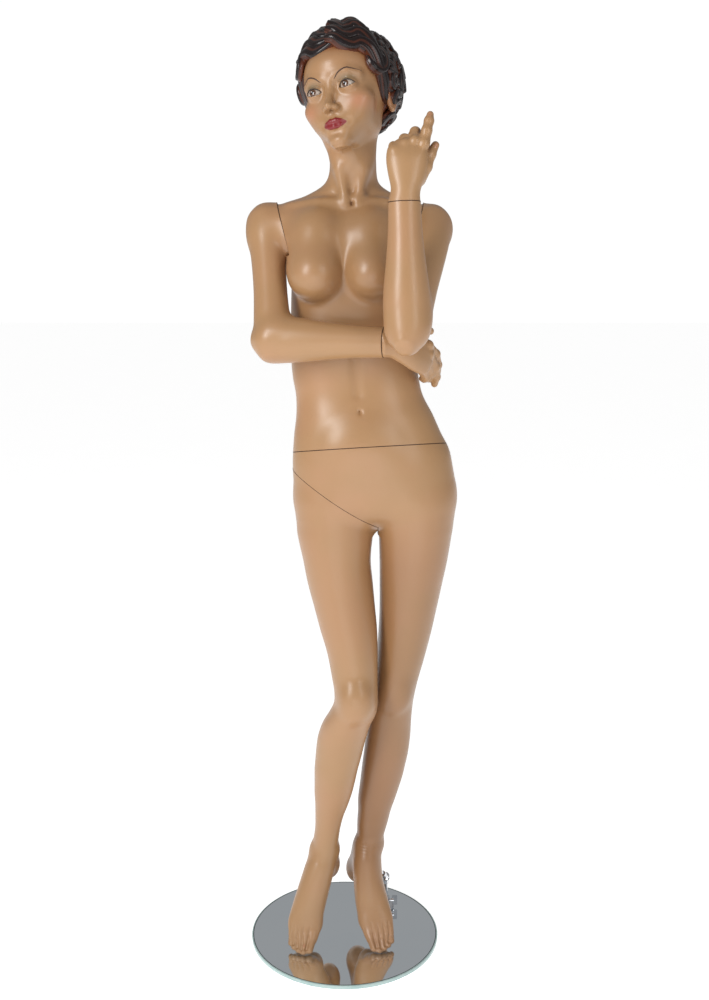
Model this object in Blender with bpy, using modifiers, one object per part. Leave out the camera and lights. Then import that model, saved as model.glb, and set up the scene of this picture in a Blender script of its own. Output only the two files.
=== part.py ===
"""Full body display mannequin on a round mirror-glass base.

A hollow glass-fibre figure made as six shells: the torso with its head, the hips with the standing leg, the
bent leg, two arms and two hands. Hidden steel fittings join them at the waist, the hip, the shoulders and the
wrists. A support rod on the base carries an inclined pin that enters the standing leg above the heel.

Metres, +Z up. The origin is the centre of the underside of the base, and the figure faces -Y.
"""
import math

import bmesh
import bpy
import numpy as np
from mathutils import Matrix, Vector

COLLECTION_NAME = "full_body_mannequin"
GAP = 0.0003                    # clearance between touching pieces
WALL = 0.004                    # glass-fibre wall
TORSO_WALL = 0.005
PLATE_GAP = 0.0025              # clearance of a closing plate inside its shell

BASE_RADIUS = 0.190             # a 15 inch glass
GLASS_THICKNESS = 0.008
PAD_HEIGHT = 0.003
PAD_RADIUS = 0.009
PAD_CIRCLE = 0.165
GLASS_TOP = PAD_HEIGHT + GLASS_THICKNESS

ROD_FOOT = Vector((0.086, 0.085, GLASS_TOP))
ROD_RADIUS = 0.0045
PIN_DIRECTION = Vector((-0.44, -0.54, 0.72)).normalized()
PIN_RADIUS = 0.004
KNOB_CENTRE = ROD_FOOT + Vector((0.0, 0.0, 0.072))
KNOB_RADIUS = 0.0095
PIN_END = 0.108                 # along the pin, from the clamp's centre
SOCKET_START = 0.080
SOCKET_END = 0.112
SOCKET_RADIUS = 0.0068
BOSS_HEIGHT = 0.024
WING_HEIGHT = 0.017             # wing screw's axis over the rod's foot

# The seam planes: a point on each and the direction that its upper or inner piece lies in.
WAIST_POINT = Vector((0.050, 0.000, 1.0155))
WAIST_NORMAL = Vector((-0.060, 0.180, 1.0)).normalized()
HIP_POINT = Vector((-0.014, 0.000, 0.924))
HIP_NORMAL = Vector((0.547, 0.000, 0.837)).normalized()
HIP_SPLIT_X = 0.0648            # the bent leg lies left of this plane, the standing leg right of it
LEG_KEY = HIP_POINT + Vector((-0.837, 0.0, 0.547)) * 0.025
LEG_KEY_TURN = math.radians(25.0)       # the key's cross bar, from the slope of the seam
LEG_CLEARANCE_TURN = math.radians(11.0)  # the leg's own 10 degrees of turn and a little more
SHOULDER_TILT = math.radians(15.0)
SHOULDER_POINTS = {"right": Vector((-0.1120, 0.026, 1.430)), "left": Vector((0.1360, 0.026, 1.430))}

KEY_DROP = 0.012                # shoulder key under the seam's middle point
KEY_TRAVEL = 0.012              # slot length up to the wide end of the keyhole
PEG_RADIUS = 0.006              # wrist peg
PEG_DEPTH = 0.015

# Level sections of the trunk: z, centre x, centre y, half width, front, back, squareness.
TRUNK = [
    (0.872, 0.059, -0.005, 0.146, 0.078, 0.088, 2.3),
    (0.905, 0.059, -0.003, 0.151, 0.085, 0.105, 2.3),
    (0.945, 0.058, -0.003, 0.152, 0.090, 0.112, 2.3),
    (0.985, 0.054, -0.003, 0.150, 0.090, 0.104, 2.3),
    (1.015, 0.051, -0.003, 0.146, 0.087, 0.092, 2.3),
    (1.045, 0.0445, -0.002, 0.137, 0.083, 0.080, 2.3),
    (1.080, 0.0385, 0.000, 0.127, 0.078, 0.071, 2.3),
    (1.115, 0.0290, 0.004, 0.118, 0.073, 0.067, 2.3),
    (1.150, 0.0220, 0.008, 0.117, 0.073, 0.069, 2.3),
    (1.190, 0.0180, 0.012, 0.116, 0.077, 0.074, 2.3),
    (1.230, 0.0165, 0.016, 0.115, 0.083, 0.080, 2.3),
    (1.280, 0.0170, 0.020, 0.114, 0.089, 0.086, 2.3),
    (1.330, 0.0180, 0.023, 0.115, 0.090, 0.088, 2.3),
    (1.375, 0.0150, 0.024, 0.123, 0.084, 0.084, 2.3),
    (1.410, 0.0130, 0.024, 0.144, 0.073, 0.075, 2.2),
    (1.440, 0.0125, 0.025, 0.149, 0.060, 0.062, 2.2),
    (1.460, 0.0130, 0.026, 0.119, 0.049, 0.052, 2.0),
    (1.475, 0.0145, 0.024, 0.079, 0.044, 0.048, 2.0),
    (1.492, 0.0150, 0.020, 0.0495, 0.044, 0.048, 2.0),
    (1.513, 0.0170, 0.015, 0.0430, 0.045, 0.048, 2.0),
    (1.540, 0.0170, 0.009, 0.0415, 0.047, 0.050, 2.0),
    (1.590, 0.0130, 0.006, 0.0410, 0.047, 0.053, 2.0),
    (1.630, 0.0130, 0.006, 0.0450, 0.047, 0.058, 2.0),
]
BENT_LEG = [
    (0.975, -0.010, 0.000, 0.076, 0.070, 0.080, 2.1),
    (0.920, -0.016, 0.000, 0.077, 0.080, 0.094, 2.1),
    (0.872, -0.0165, -0.003, 0.0735, 0.082, 0.090, 2.1),
    (0.849, -0.0165, -0.006, 0.0715, 0.081, 0.085, 2.1),
    (0.804, -0.0135, -0.013, 0.0645, 0.078, 0.076, 2.1),
    (0.759, -0.0070, -0.022, 0.0620, 0.074, 0.069, 2.0),
    (0.716, 0.0010, -0.032, 0.0580, 0.070, 0.062, 2.0),
    (0.673, 0.0090, -0.044, 0.0540, 0.064, 0.056, 2.0),
    (0.631, 0.0160, -0.056, 0.0480, 0.057, 0.052, 2.0),
    (0.586, 0.0205, -0.067, 0.0435, 0.050, 0.050, 2.0),
    (0.560, 0.0228, -0.073, 0.0415, 0.050, 0.048, 2.0),
    (0.538, 0.0226, -0.076, 0.0418, 0.050, 0.047, 2.0),
    (0.515, 0.0158, -0.074, 0.0450, 0.046, 0.050, 2.0),
    (0.492, 0.0048, -0.068, 0.0463, 0.042, 0.055, 2.0),
    (0.465, -0.0030, -0.060, 0.0470, 0.040, 0.062, 2.0),
    (0.438, -0.0080, -0.052, 0.0460, 0.038, 0.066, 2.0),
    (0.411, -0.0118, -0.044, 0.0445, 0.037, 0.066, 2.0),
    (0.384, -0.0160, -0.037, 0.0425, 0.036, 0.062, 2.0),
    (0.354, -0.0190, -0.029, 0.0400, 0.034, 0.055, 2.0),
    (0.326, -0.0222, -0.022, 0.0372, 0.032, 0.047, 2.0),
    (0.298, -0.0257, -0.015, 0.0328, 0.030, 0.040, 2.0),
    (0.270, -0.0303, -0.009, 0.0283, 0.028, 0.034, 2.0),
    (0.241, -0.0340, -0.004, 0.0255, 0.027, 0.030, 2.0),
    (0.212, -0.0380, 0.000, 0.0265, 0.028, 0.030, 2.0),
    (0.185, -0.0430, 0.002, 0.0280, 0.032, 0.030, 2.0),
]
STANDING_LEG = [
    (0.975, 0.132, -0.002, 0.074, 0.070, 0.084, 2.1),
    (0.920, 0.134, -0.002, 0.0765, 0.080, 0.098, 2.1),
    (0.872, 0.1355, -0.004, 0.0720, 0.080, 0.092, 2.1),
    (0.849, 0.1353, -0.005, 0.0690, 0.079, 0.086, 2.1),
    (0.801, 0.1323, -0.007, 0.0645, 0.076, 0.077, 2.1),
    (0.754, 0.1278, -0.009, 0.0597, 0.072, 0.070, 2.0),
    (0.705, 0.1228, -0.011, 0.0547, 0.067, 0.063, 2.0),
    (0.657, 0.1168, -0.012, 0.0507, 0.061, 0.057, 2.0),
    (0.608, 0.1088, -0.013, 0.0468, 0.055, 0.053, 2.0),
    (0.558, 0.0990, -0.013, 0.0436, 0.050, 0.050, 2.0),
    (0.525, 0.0935, -0.012, 0.0426, 0.049, 0.048, 2.0),
    (0.500, 0.0905, -0.009, 0.0428, 0.046, 0.050, 2.0),
    (0.470, 0.0885, -0.004, 0.0430, 0.042, 0.056, 2.0),
    (0.440, 0.0868, 0.001, 0.0438, 0.040, 0.062, 2.0),
    (0.403, 0.0830, 0.006, 0.0440, 0.039, 0.066, 2.0),
    (0.376, 0.0790, 0.010, 0.0432, 0.038, 0.064, 2.0),
    (0.349, 0.0750, 0.014, 0.0420, 0.036, 0.058, 2.0),
    (0.322, 0.0700, 0.018, 0.0400, 0.034, 0.051, 2.0),
    (0.294, 0.0645, 0.021, 0.0375, 0.032, 0.044, 2.0),
    (0.268, 0.0605, 0.024, 0.0335, 0.030, 0.038, 2.0),
    (0.239, 0.0565, 0.027, 0.0310, 0.028, 0.034, 2.0),
    (0.209, 0.0525, 0.030, 0.0293, 0.028, 0.032, 2.0),
    (0.183, 0.0480, 0.032, 0.0300, 0.032, 0.032, 2.0),
]
# Feet on tiptoe: centre x, y, z, half width and half thickness across the path from ankle to toes.
BENT_FOOT = [
    (-0.038, 0.006, 0.215, 0.026, 0.029), (-0.041, 0.004, 0.190, 0.0275, 0.032),
    (-0.048, -0.004, 0.162, 0.0295, 0.034), (-0.060, -0.020, 0.125, 0.031, 0.030),
    (-0.072, -0.037, 0.086, 0.0325, 0.026), (-0.0795, -0.054, 0.053, 0.034, 0.021),
    (-0.0800, -0.070, 0.033, 0.031, 0.015), (-0.077, -0.086, 0.023, 0.022, 0.009),
]
STANDING_FOOT = [
    (0.053, 0.031, 0.212, 0.028, 0.029), (0.050, 0.030, 0.188, 0.029, 0.032),
    (0.046, 0.020, 0.160, 0.029, 0.035), (0.048, 0.002, 0.122, 0.030, 0.031),
    (0.055, -0.018, 0.086, 0.033, 0.026), (0.062, -0.040, 0.053, 0.035, 0.021),
    (0.066, -0.060, 0.033, 0.031, 0.015), (0.070, -0.076, 0.023, 0.022, 0.009),
]
# Egg-shaped volumes, as centre and radii: each heel, then four toes of each foot from the big toe outwards.
HEELS = {"bent": [((-0.032, 0.034, 0.142), (0.0235, 0.025, 0.029)),
                  ((-0.036, 0.022, 0.166), (0.021, 0.024, 0.040))],
         "standing": [((0.026, 0.060, 0.118), (0.0255, 0.026, 0.029)),
                      ((0.036, 0.048, 0.146), (0.024, 0.024, 0.038))]}
TOES = {"bent": [((-0.0668, -0.084, 0.0215), (0.0095, 0.020, 0.0098)),
                 ((-0.0800, -0.089, 0.0195), (0.0072, 0.018, 0.0078)),
                 ((-0.0915, -0.085, 0.0205), (0.0066, 0.017, 0.0074)),
                 ((-0.1010, -0.078, 0.0220), (0.0062, 0.016, 0.0070))],
        "standing": [((0.0555, -0.076, 0.0215), (0.0095, 0.020, 0.0098)),
                     ((0.0690, -0.082, 0.0195), (0.0072, 0.018, 0.0078)),
                     ((0.0805, -0.079, 0.0205), (0.0066, 0.017, 0.0074)),
                     ((0.0895, -0.072, 0.0220), (0.0062, 0.016, 0.0070))]}

# Arms: joint centres, then fraction along, radius in the reference direction, radius across it.
SHOULDER_CENTRE = {"right": (-0.141, 0.033, 1.428), "left": (0.160, 0.004, 1.422)}
ELBOW_CENTRE = {"right": (-0.125, -0.075, 1.2235), "left": (0.109, -0.190, 1.245)}
WRIST_CENTRE = {"right": (0.0714, -0.122, 1.2220), "left": (0.103, -0.172, 1.4575)}
DELTOID = {"right": ((-0.130, 0.028, 1.415), (0.0435, 0.040, 0.041)),
           "left": ((0.152, 0.020, 1.415), (0.0435, 0.040, 0.041))}
UPPER_ARM = {
    "right": [(-0.12, 0.020, 0.022), (-0.06, 0.032, 0.033), (0.0, 0.036, 0.036), (0.15, 0.035, 0.037),
              (0.35, 0.0315, 0.035), (0.6, 0.0305, 0.034), (0.85, 0.033, 0.035), (1.0, 0.034, 0.034),
              (1.08, 0.026, 0.026)],
    "left": [(-0.12, 0.020, 0.022), (-0.06, 0.032, 0.033), (0.0, 0.0365, 0.036), (0.15, 0.038, 0.038),
             (0.35, 0.037, 0.036), (0.6, 0.035, 0.035), (0.85, 0.035, 0.035), (1.0, 0.033, 0.033),
             (1.08, 0.024, 0.024)],
}
FOREARM = {
    "right": [(-0.13, 0.020, 0.020), (-0.06, 0.033, 0.030), (0.04, 0.039, 0.035), (0.15, 0.041, 0.037),
              (0.3, 0.0385, 0.0355), (0.5, 0.0335, 0.032), (0.75, 0.0290, 0.0275), (1.06, 0.0265, 0.0222)],
    "left": [(-0.13, 0.018, 0.018), (-0.05, 0.028, 0.026), (0.05, 0.0365, 0.034), (0.2, 0.0400, 0.036),
             (0.35, 0.0385, 0.035), (0.55, 0.0335, 0.031), (0.78, 0.0292, 0.026), (1.06, 0.0270, 0.0205)],
}
FOREARM_REFERENCE = {"right": (0.0, 0.0, 1.0), "left": (1.0, 0.0, 0.0)}

# Hands: the palm as sections from the wrist, and each finger as joint points with a radius at each.
PALM = {
    "right": [(0.0712, -0.122, 1.2223, 0.0265, 0.0222), (0.088, -0.119, 1.2205, 0.0262, 0.0195),
              (0.108, -0.109, 1.2130, 0.031, 0.0165), (0.128, -0.093, 1.2030, 0.0355, 0.0150),
              (0.145, -0.075, 1.1930, 0.0345, 0.0125), (0.152, -0.065, 1.1880, 0.029, 0.009)],
    "left": [(0.103, -0.172, 1.4575, 0.0270, 0.0205), (0.1045, -0.173, 1.4760, 0.0245, 0.0190),
             (0.1060, -0.172, 1.4980, 0.0300, 0.0175), (0.1065, -0.169, 1.5250, 0.0345, 0.0160),
             (0.1075, -0.163, 1.5480, 0.0345, 0.0130), (0.1085, -0.160, 1.5560, 0.0290, 0.0095)],
}
FINGERS = {
    "right": [
        [(0.150, -0.072, 1.212, 0.0098), (0.166, -0.047, 1.195, 0.0088), (0.1715, -0.030, 1.174, 0.0080),
         (0.172, -0.019, 1.158, 0.0062)],
        [(0.151, -0.070, 1.196, 0.0098), (0.166, -0.046, 1.172, 0.0088), (0.169, -0.031, 1.152, 0.0080),
         (0.167, -0.023, 1.138, 0.0060)],
        [(0.148, -0.069, 1.180, 0.0093), (0.158, -0.045, 1.160, 0.0083), (0.156, -0.027, 1.150, 0.0076),
         (0.151, -0.015, 1.146, 0.0058)],
        [(0.141, -0.071, 1.168, 0.0085), (0.149, -0.050, 1.153, 0.0075), (0.1475, -0.033, 1.149, 0.0068),
         (0.1435, -0.022, 1.148, 0.0052)],
        [(0.098, -0.115, 1.232, 0.0115), (0.120, -0.105, 1.246, 0.0105), (0.141, -0.089, 1.244, 0.0092),
         (0.155, -0.075, 1.238, 0.0062)],
    ],
    "left": [
        [(0.1345, -0.163, 1.551, 0.0098), (0.1390, -0.160, 1.572, 0.0086), (0.1430, -0.154, 1.588, 0.0078),
         (0.1452, -0.150, 1.5985, 0.0055)],
        [(0.1195, -0.161, 1.555, 0.0098), (0.1210, -0.143, 1.571, 0.0088), (0.1190, -0.125, 1.568, 0.0080),
         (0.1180, -0.116, 1.558, 0.0060)],
        [(0.1040, -0.161, 1.550, 0.0094), (0.1030, -0.143, 1.560, 0.0085), (0.1030, -0.127, 1.552, 0.0078),
         (0.1040, -0.122, 1.540, 0.0060)],
        [(0.0860, -0.163, 1.539, 0.0088), (0.0850, -0.146, 1.548, 0.0078), (0.0860, -0.132, 1.541, 0.0070),
         (0.0880, -0.127, 1.531, 0.0054)],
        [(0.126, -0.163, 1.495, 0.0130), (0.138, -0.158, 1.515, 0.0108), (0.146, -0.152, 1.535, 0.0092),
         (0.1545, -0.148, 1.550, 0.0065)],
    ],
}

# Head, hair and bust: centre, radii and turn about Z of each egg-shaped volume.
SKULL = [((-0.004, -0.028, 1.626), (0.056, 0.066, 0.080), -25.0),
         ((0.000, -0.050, 1.580), (0.034, 0.036, 0.034), -25.0),
         ((0.012, 0.002, 1.676), (0.072, 0.086, 0.082), -25.0),
         ((-0.034, -0.092, 1.608), (0.010, 0.016, 0.020), -25.0),
         ((-0.028, -0.082, 1.578), (0.019, 0.014, 0.010), -25.0)]
HAIR = [((-0.030, -0.016, 1.724), (0.045, 0.056, 0.040), -20.0),
        ((0.034, -0.004, 1.729), (0.052, 0.062, 0.047), -20.0),
        ((0.072, 0.006, 1.682), (0.033, 0.048, 0.050), 0.0),
        ((0.066, 0.032, 1.634), (0.030, 0.040, 0.036), 0.0),
        ((0.022, 0.052, 1.678), (0.058, 0.046, 0.074), 0.0)]
BUST = [((-0.050, -0.052, 1.338), (0.052, 0.057, 0.051), 0.0),
        ((0.052, -0.054, 1.340), (0.052, 0.057, 0.051), 0.0),
        ((-0.046, -0.028, 1.380), (0.056, 0.054, 0.072), 0.0),
        ((0.050, -0.028, 1.382), (0.056, 0.054, 0.072), 0.0)]

SKIN = (0.62, 0.42, 0.24)
STEEL = (0.60, 0.60, 0.62)
PLATE = (0.30, 0.24, 0.17)
RUBBER = (0.03, 0.03, 0.03)
GLASS = (0.42, 0.48, 0.55)


# ---------------------------------------------------------------- scene and materials

for old in list(bpy.data.objects):
    bpy.data.objects.remove(old, do_unlink=True)

parts = bpy.data.collections.new(COLLECTION_NAME)
bpy.context.scene.collection.children.link(parts)


def material(name, colour, roughness, metallic):
    """A Principled material of one colour."""
    item = bpy.data.materials.get(name) or bpy.data.materials.new(name)
    item.use_nodes = True
    shader = item.node_tree.nodes["Principled BSDF"]
    shader.inputs["Base Color"].default_value = (*colour, 1.0)
    shader.inputs["Roughness"].default_value = roughness
    shader.inputs["Metallic"].default_value = metallic
    return item


LOOKS = {
    "skin": ("painted_skin", SKIN, 0.45, 0.0),
    "steel": ("bright_steel", STEEL, 0.20, 1.0),
    "plate": ("fitting_plate", PLATE, 0.60, 0.0),
    "rubber": ("black_rubber", RUBBER, 0.80, 0.0),
    "glass": ("mirror_glass", GLASS, 0.05, 0.9),
}


# ---------------------------------------------------------------- solids

def smooth_rows(rows, steps):
    """Rows of numbers with a smooth curve through them, steps rows for each one given."""
    rows = np.array(rows, float)
    last = len(rows) - 1
    out = []
    for i in range(last):
        before, here, there, after = rows[max(i - 1, 0)], rows[i], rows[i + 1], rows[min(i + 2, last)]
        for k in range(steps):
            t = k / steps
            out.append(0.5 * (2 * here + (there - before) * t
                              + (2 * before - 5 * here + 4 * there - after) * t * t
                              + (3 * here - before - 3 * there + after) * t ** 3))
    out.append(rows[last])
    return out


def loft(rings):
    """A closed mesh through rings of points, each with as many points as the last."""
    mesh = bmesh.new()
    rows = [[mesh.verts.new(point) for point in ring] for ring in rings]
    count = len(rows[0])
    for lower, upper in zip(rows, rows[1:]):
        for i in range(count):
            j = (i + 1) % count
            mesh.faces.new((lower[i], lower[j], upper[j], upper[i]))
    mesh.faces.new(rows[0][::-1])
    mesh.faces.new(rows[-1])
    bmesh.ops.recalc_face_normals(mesh, faces=mesh.faces)
    return mesh


def level_loft(rows, sides, steps=1, shrink=0.0):
    """A body of level, slightly squared oval sections."""
    rings = []
    for z, x, y, half, front, back, power in smooth_rows(rows, steps):
        ring = []
        for i in range(sides):
            angle = 2 * math.pi * i / sides
            c, s = math.cos(angle), math.sin(angle)
            across = math.copysign(abs(c) ** (2 / power), c) * (half - shrink)
            along = math.copysign(abs(s) ** (2 / power), s) * ((front if s < 0 else back) - shrink)
            ring.append((x + across, y + along, z))
        rings.append(ring)
    return loft(rings)


def path_loft(centres, tangents, reference, widths, depths, sides):
    """Oval sections square to a path; widths lie along the reference direction."""
    rings = []
    for centre, tangent, width, depth in zip(centres, tangents, widths, depths):
        across = Vector(tangent).cross(Vector(reference)).normalized()
        along = across.cross(Vector(tangent)).normalized()
        rings.append([Vector(centre) + along * (width * math.cos(a)) + across * (depth * math.sin(a))
                      for a in (2 * math.pi * i / sides for i in range(sides))])
    return loft(rings)


def limb(start, end, rows, reference, sides, shrink=0.0, steps=1):
    """A straight limb: rows give the fraction along it and two radii."""
    start, end = Vector(start), Vector(end)
    rows = smooth_rows(rows, steps)
    return path_loft([start.lerp(end, row[0]) for row in rows], [end - start] * len(rows), reference,
                     [row[1] - shrink for row in rows], [row[2] - shrink for row in rows], sides)


def bent_limb(rows, reference, sides, steps=2):
    """A limb along a curved path: rows give its centre and two radii, or one."""
    rows = smooth_rows(rows, steps)
    centres = [Vector(row[:3]) for row in rows]
    ends = [centres[0]] + centres + [centres[-1]]
    tangents = [ends[i + 2] - ends[i] for i in range(len(centres))]
    return path_loft(centres, tangents, reference, [row[3] for row in rows], [row[-1] for row in rows], sides)


def egg(centre, radii, turn=0.0, segments=12, rings=8):
    mesh = bmesh.new()
    bmesh.ops.create_uvsphere(mesh, u_segments=segments, v_segments=rings, radius=1.0)
    scale = Matrix.Diagonal((*radii, 1.0))
    mesh.transform(Matrix.Translation(centre) @ Matrix.Rotation(math.radians(turn), 4, "Z") @ scale)
    return mesh


def facing(point, direction):
    """The matrix that takes +Z to a direction at a point."""
    return Matrix.Translation(point) @ Vector(direction).to_track_quat("Z", "Y").to_matrix().to_4x4()


def rod(start, direction, radius, length, sides=16):
    """A cylinder from a point along a direction."""
    mesh = bmesh.new()
    bmesh.ops.create_cone(mesh, cap_ends=True, segments=sides, radius1=radius, radius2=radius, depth=length)
    mesh.transform(facing(start, direction) @ Matrix.Translation((0, 0, length / 2)))
    return mesh


def box(size, matrix):
    mesh = bmesh.new()
    bmesh.ops.create_cube(mesh, size=1.0)
    mesh.transform(matrix @ Matrix.Diagonal((*size, 1.0)))
    return mesh


def half_space(point, normal, size=2.0):
    """A big box whose lower face lies on a plane, on the side that the normal points to."""
    return box((size, size, size), facing(point, normal) @ Matrix.Translation((0, 0, size / 2)))


def slab(point, normal, low, high, size=0.6):
    """A slice of space between two planes, at heights low and high over the point."""
    return box((size, size, high - low), facing(point, normal) @ Matrix.Translation((0, 0, (low + high) / 2)))


def combine(first, operation, *others):
    """The exact union, difference or intersection of closed meshes."""
    holder = bpy.data.meshes.new("work")
    first.to_mesh(holder)
    first.free()
    body = bpy.data.objects.new("work", holder)
    bpy.context.scene.collection.objects.link(body)
    helpers = []
    for other in others:
        data = bpy.data.meshes.new("helper")
        other.to_mesh(data)
        other.free()
        helper = bpy.data.objects.new("helper", data)
        bpy.context.scene.collection.objects.link(helper)
        helpers.append(helper)
        modifier = body.modifiers.new("combine", "BOOLEAN")
        modifier.operation = operation
        modifier.solver = "EXACT"
        modifier.object = helper
    graph = bpy.context.evaluated_depsgraph_get()
    result = bmesh.new()
    result.from_mesh(bpy.data.meshes.new_from_object(body.evaluated_get(graph)))
    bmesh.ops.remove_doubles(result, verts=result.verts, dist=0.00002)
    bmesh.ops.triangulate(result, faces=[face for face in result.faces if len(face.verts) > 4])
    for item in (body, *helpers):
        bpy.data.objects.remove(item, do_unlink=True)
    return result


def join(first, *others):
    return combine(first, "UNION", *others)


def cut(first, *others):
    return combine(first, "DIFFERENCE", *others)


def common(first, *others):
    return combine(first, "INTERSECT", *others)


def add_part(name, mesh, look, origin=(0.0, 0.0, 0.0), sharp=35.0):
    """Store a finished solid as a named object whose origin is its own pivot."""
    mesh.transform(Matrix.Translation(-Vector(origin)))
    mesh.normal_update()
    bmesh.ops.recalc_face_normals(mesh, faces=mesh.faces)
    if mesh.calc_volume(signed=True) < 0:
        bmesh.ops.reverse_faces(mesh, faces=mesh.faces)
    data = bpy.data.meshes.new(name)
    mesh.to_mesh(data)
    mesh.free()
    data.shade_smooth()
    data.set_sharp_from_angle(angle=math.radians(sharp))
    item = bpy.data.objects.new(name, data)
    item.location = origin
    item.data.materials.append(material(*LOOKS[look]))
    parts.objects.link(item)
    return item


def turned(name, profile, point, direction, look, steps=16):
    """A turned piece: (radius, height) down its outer side, from the axis back to the axis."""
    curve = bpy.data.meshes.new(name)
    edges = [(i, i + 1) for i in range(len(profile) - 1)]
    curve.from_pydata([(radius, 0.0, height) for radius, height in profile], edges, [])
    item = bpy.data.objects.new(name, curve)
    item.matrix_world = facing(point, direction)
    screw = item.modifiers.new("turn", "SCREW")
    screw.steps = steps
    screw.render_steps = steps
    screw.use_merge_vertices = True
    screw.merge_threshold = 0.00005
    screw.use_smooth_shade = False
    curve.materials.append(material(*LOOKS[look]))
    parts.objects.link(item)
    return item


# ---------------------------------------------------------------- base and support

def unit_up(side):
    """The upward direction in the shoulder's seam plane, and the normal that points out to the arm."""
    way = -1.0 if side == "right" else 1.0
    up = Vector((way * math.sin(SHOULDER_TILT), 0.0, math.cos(SHOULDER_TILT)))
    out = Vector((way * math.cos(SHOULDER_TILT), 0.0, -math.sin(SHOULDER_TILT)))
    return up, out


def build_base():
    edge = 0.0012
    profile = [(BASE_RADIUS - edge, PAD_HEIGHT), (BASE_RADIUS, PAD_HEIGHT + edge),
               (BASE_RADIUS, GLASS_TOP - edge), (BASE_RADIUS - edge, GLASS_TOP)]
    glass = level_loft([(z, 0, 0, radius, radius, radius, 2) for radius, z in profile], 72)
    bolt_hole = rod((ROD_FOOT.x, ROD_FOOT.y, -0.01), (0, 0, 1), 0.0045, 0.04)
    add_part("base_disc", cut(glass, bolt_hole), "glass")

    spots = [(0.0, 0.0)] + [(PAD_CIRCLE * math.cos(math.radians(60 * i + 15)),
                             PAD_CIRCLE * math.sin(math.radians(60 * i + 15))) for i in range(6)]
    for i, (x, y) in enumerate(spots):
        name = "base_pad_center" if i == 0 else "base_pad_%d" % i
        add_part(name, rod((x, y, 0), (0, 0, 1), PAD_RADIUS, PAD_HEIGHT - GAP, sides=14), "rubber", (x, y, 0))


def build_support():
    up = Vector((0, 0, 1))
    gasket = cut(rod(ROD_FOOT + up * GAP, up, 0.0165, 0.001), rod(ROD_FOOT - up * 0.01, up, 0.0052, 0.03))
    add_part("flange_gasket", gasket, "rubber", ROD_FOOT)

    flange_foot = ROD_FOOT + up * (0.001 + 2 * GAP)
    flange = join(rod(flange_foot, up, 0.0175, 0.003, sides=32), rod(flange_foot, up, 0.0085, BOSS_HEIGHT))
    wing_axis = ROD_FOOT + up * WING_HEIGHT
    flange = cut(flange, rod(ROD_FOOT - up * 0.01, up, ROD_RADIUS + GAP, 0.06),
                 rod(wing_axis, (1, 0, 0), 0.0028, 0.03, sides=16))
    add_part("rod_flange", flange, "steel", ROD_FOOT)

    head = Vector((ROD_FOOT.x, ROD_FOOT.y, 0.0004))
    turned("flange_bolt",
           [(0, 0.0165), (0.0041, 0.0165), (0.0041, 0.0022), (0.0075, 0.0022), (0.0075, 0), (0, 0)],
           head, up, "steel")

    rod_bottom = ROD_FOOT + up * 0.0065
    rod_top = KNOB_CENTRE - up * 0.003
    shaft = rod(rod_bottom, up, ROD_RADIUS, (rod_top - rod_bottom).length, sides=20)
    add_part("support_rod", shaft, "steel", rod_bottom)

    knob = egg(KNOB_CENTRE, (KNOB_RADIUS,) * 3, segments=14, rings=10)
    knob = join(knob, rod(KNOB_CENTRE - up * 0.014, up, 0.0072, 0.014),
                rod(KNOB_CENTRE, PIN_DIRECTION, 0.0066, 0.016))
    knob = cut(knob, rod(rod_bottom, up, ROD_RADIUS + GAP, (rod_top - rod_bottom).length + GAP),
               rod(KNOB_CENTRE + PIN_DIRECTION * 0.0042, PIN_DIRECTION, PIN_RADIUS + GAP, 0.03))
    add_part("rod_clamp", knob, "steel", KNOB_CENTRE)

    pin_start = KNOB_CENTRE + PIN_DIRECTION * 0.0046
    pin = rod(pin_start, PIN_DIRECTION, PIN_RADIUS, PIN_END - 0.0046, sides=20)
    add_part("ankle_pin", pin, "steel", KNOB_CENTRE)

    stem_start = wing_axis + Vector((ROD_RADIUS + GAP, 0, 0))
    wing_root = wing_axis + Vector((0.0135, 0, 0))
    wings = join(rod(stem_start, (1, 0, 0), 0.0024, 0.012, sides=16),
                 rod(wing_root - Vector((0.002, 0, 0)), (1, 0, 0), 0.0042, 0.006),
                 box((0.011, 0.0016, 0.022), Matrix.Translation(wing_root + Vector((0.0055, 0, 0)))))
    add_part("rod_wing_screw", wings, "steel", wing_axis)


# ---------------------------------------------------------------- hips and legs

def bent_leg_space(gap):
    """The space of the removable thigh: under the hip seam and beside the standing leg, down to its thigh."""
    under = half_space(HIP_POINT - HIP_NORMAL * gap, -HIP_NORMAL)
    depth, floor = 1.0, 0.80
    return common(under, box((depth, depth, depth), Matrix.Translation(
        (HIP_SPLIT_X - gap - depth / 2, 0, floor + depth / 2))))


def hips_cavity(shrink):
    return level_loft(TRUNK[1:8], 18, 1, shrink)


def bent_leg_cavity(shrink):
    return level_loft(BENT_LEG[0:21:2], 12, 1, shrink)


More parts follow.
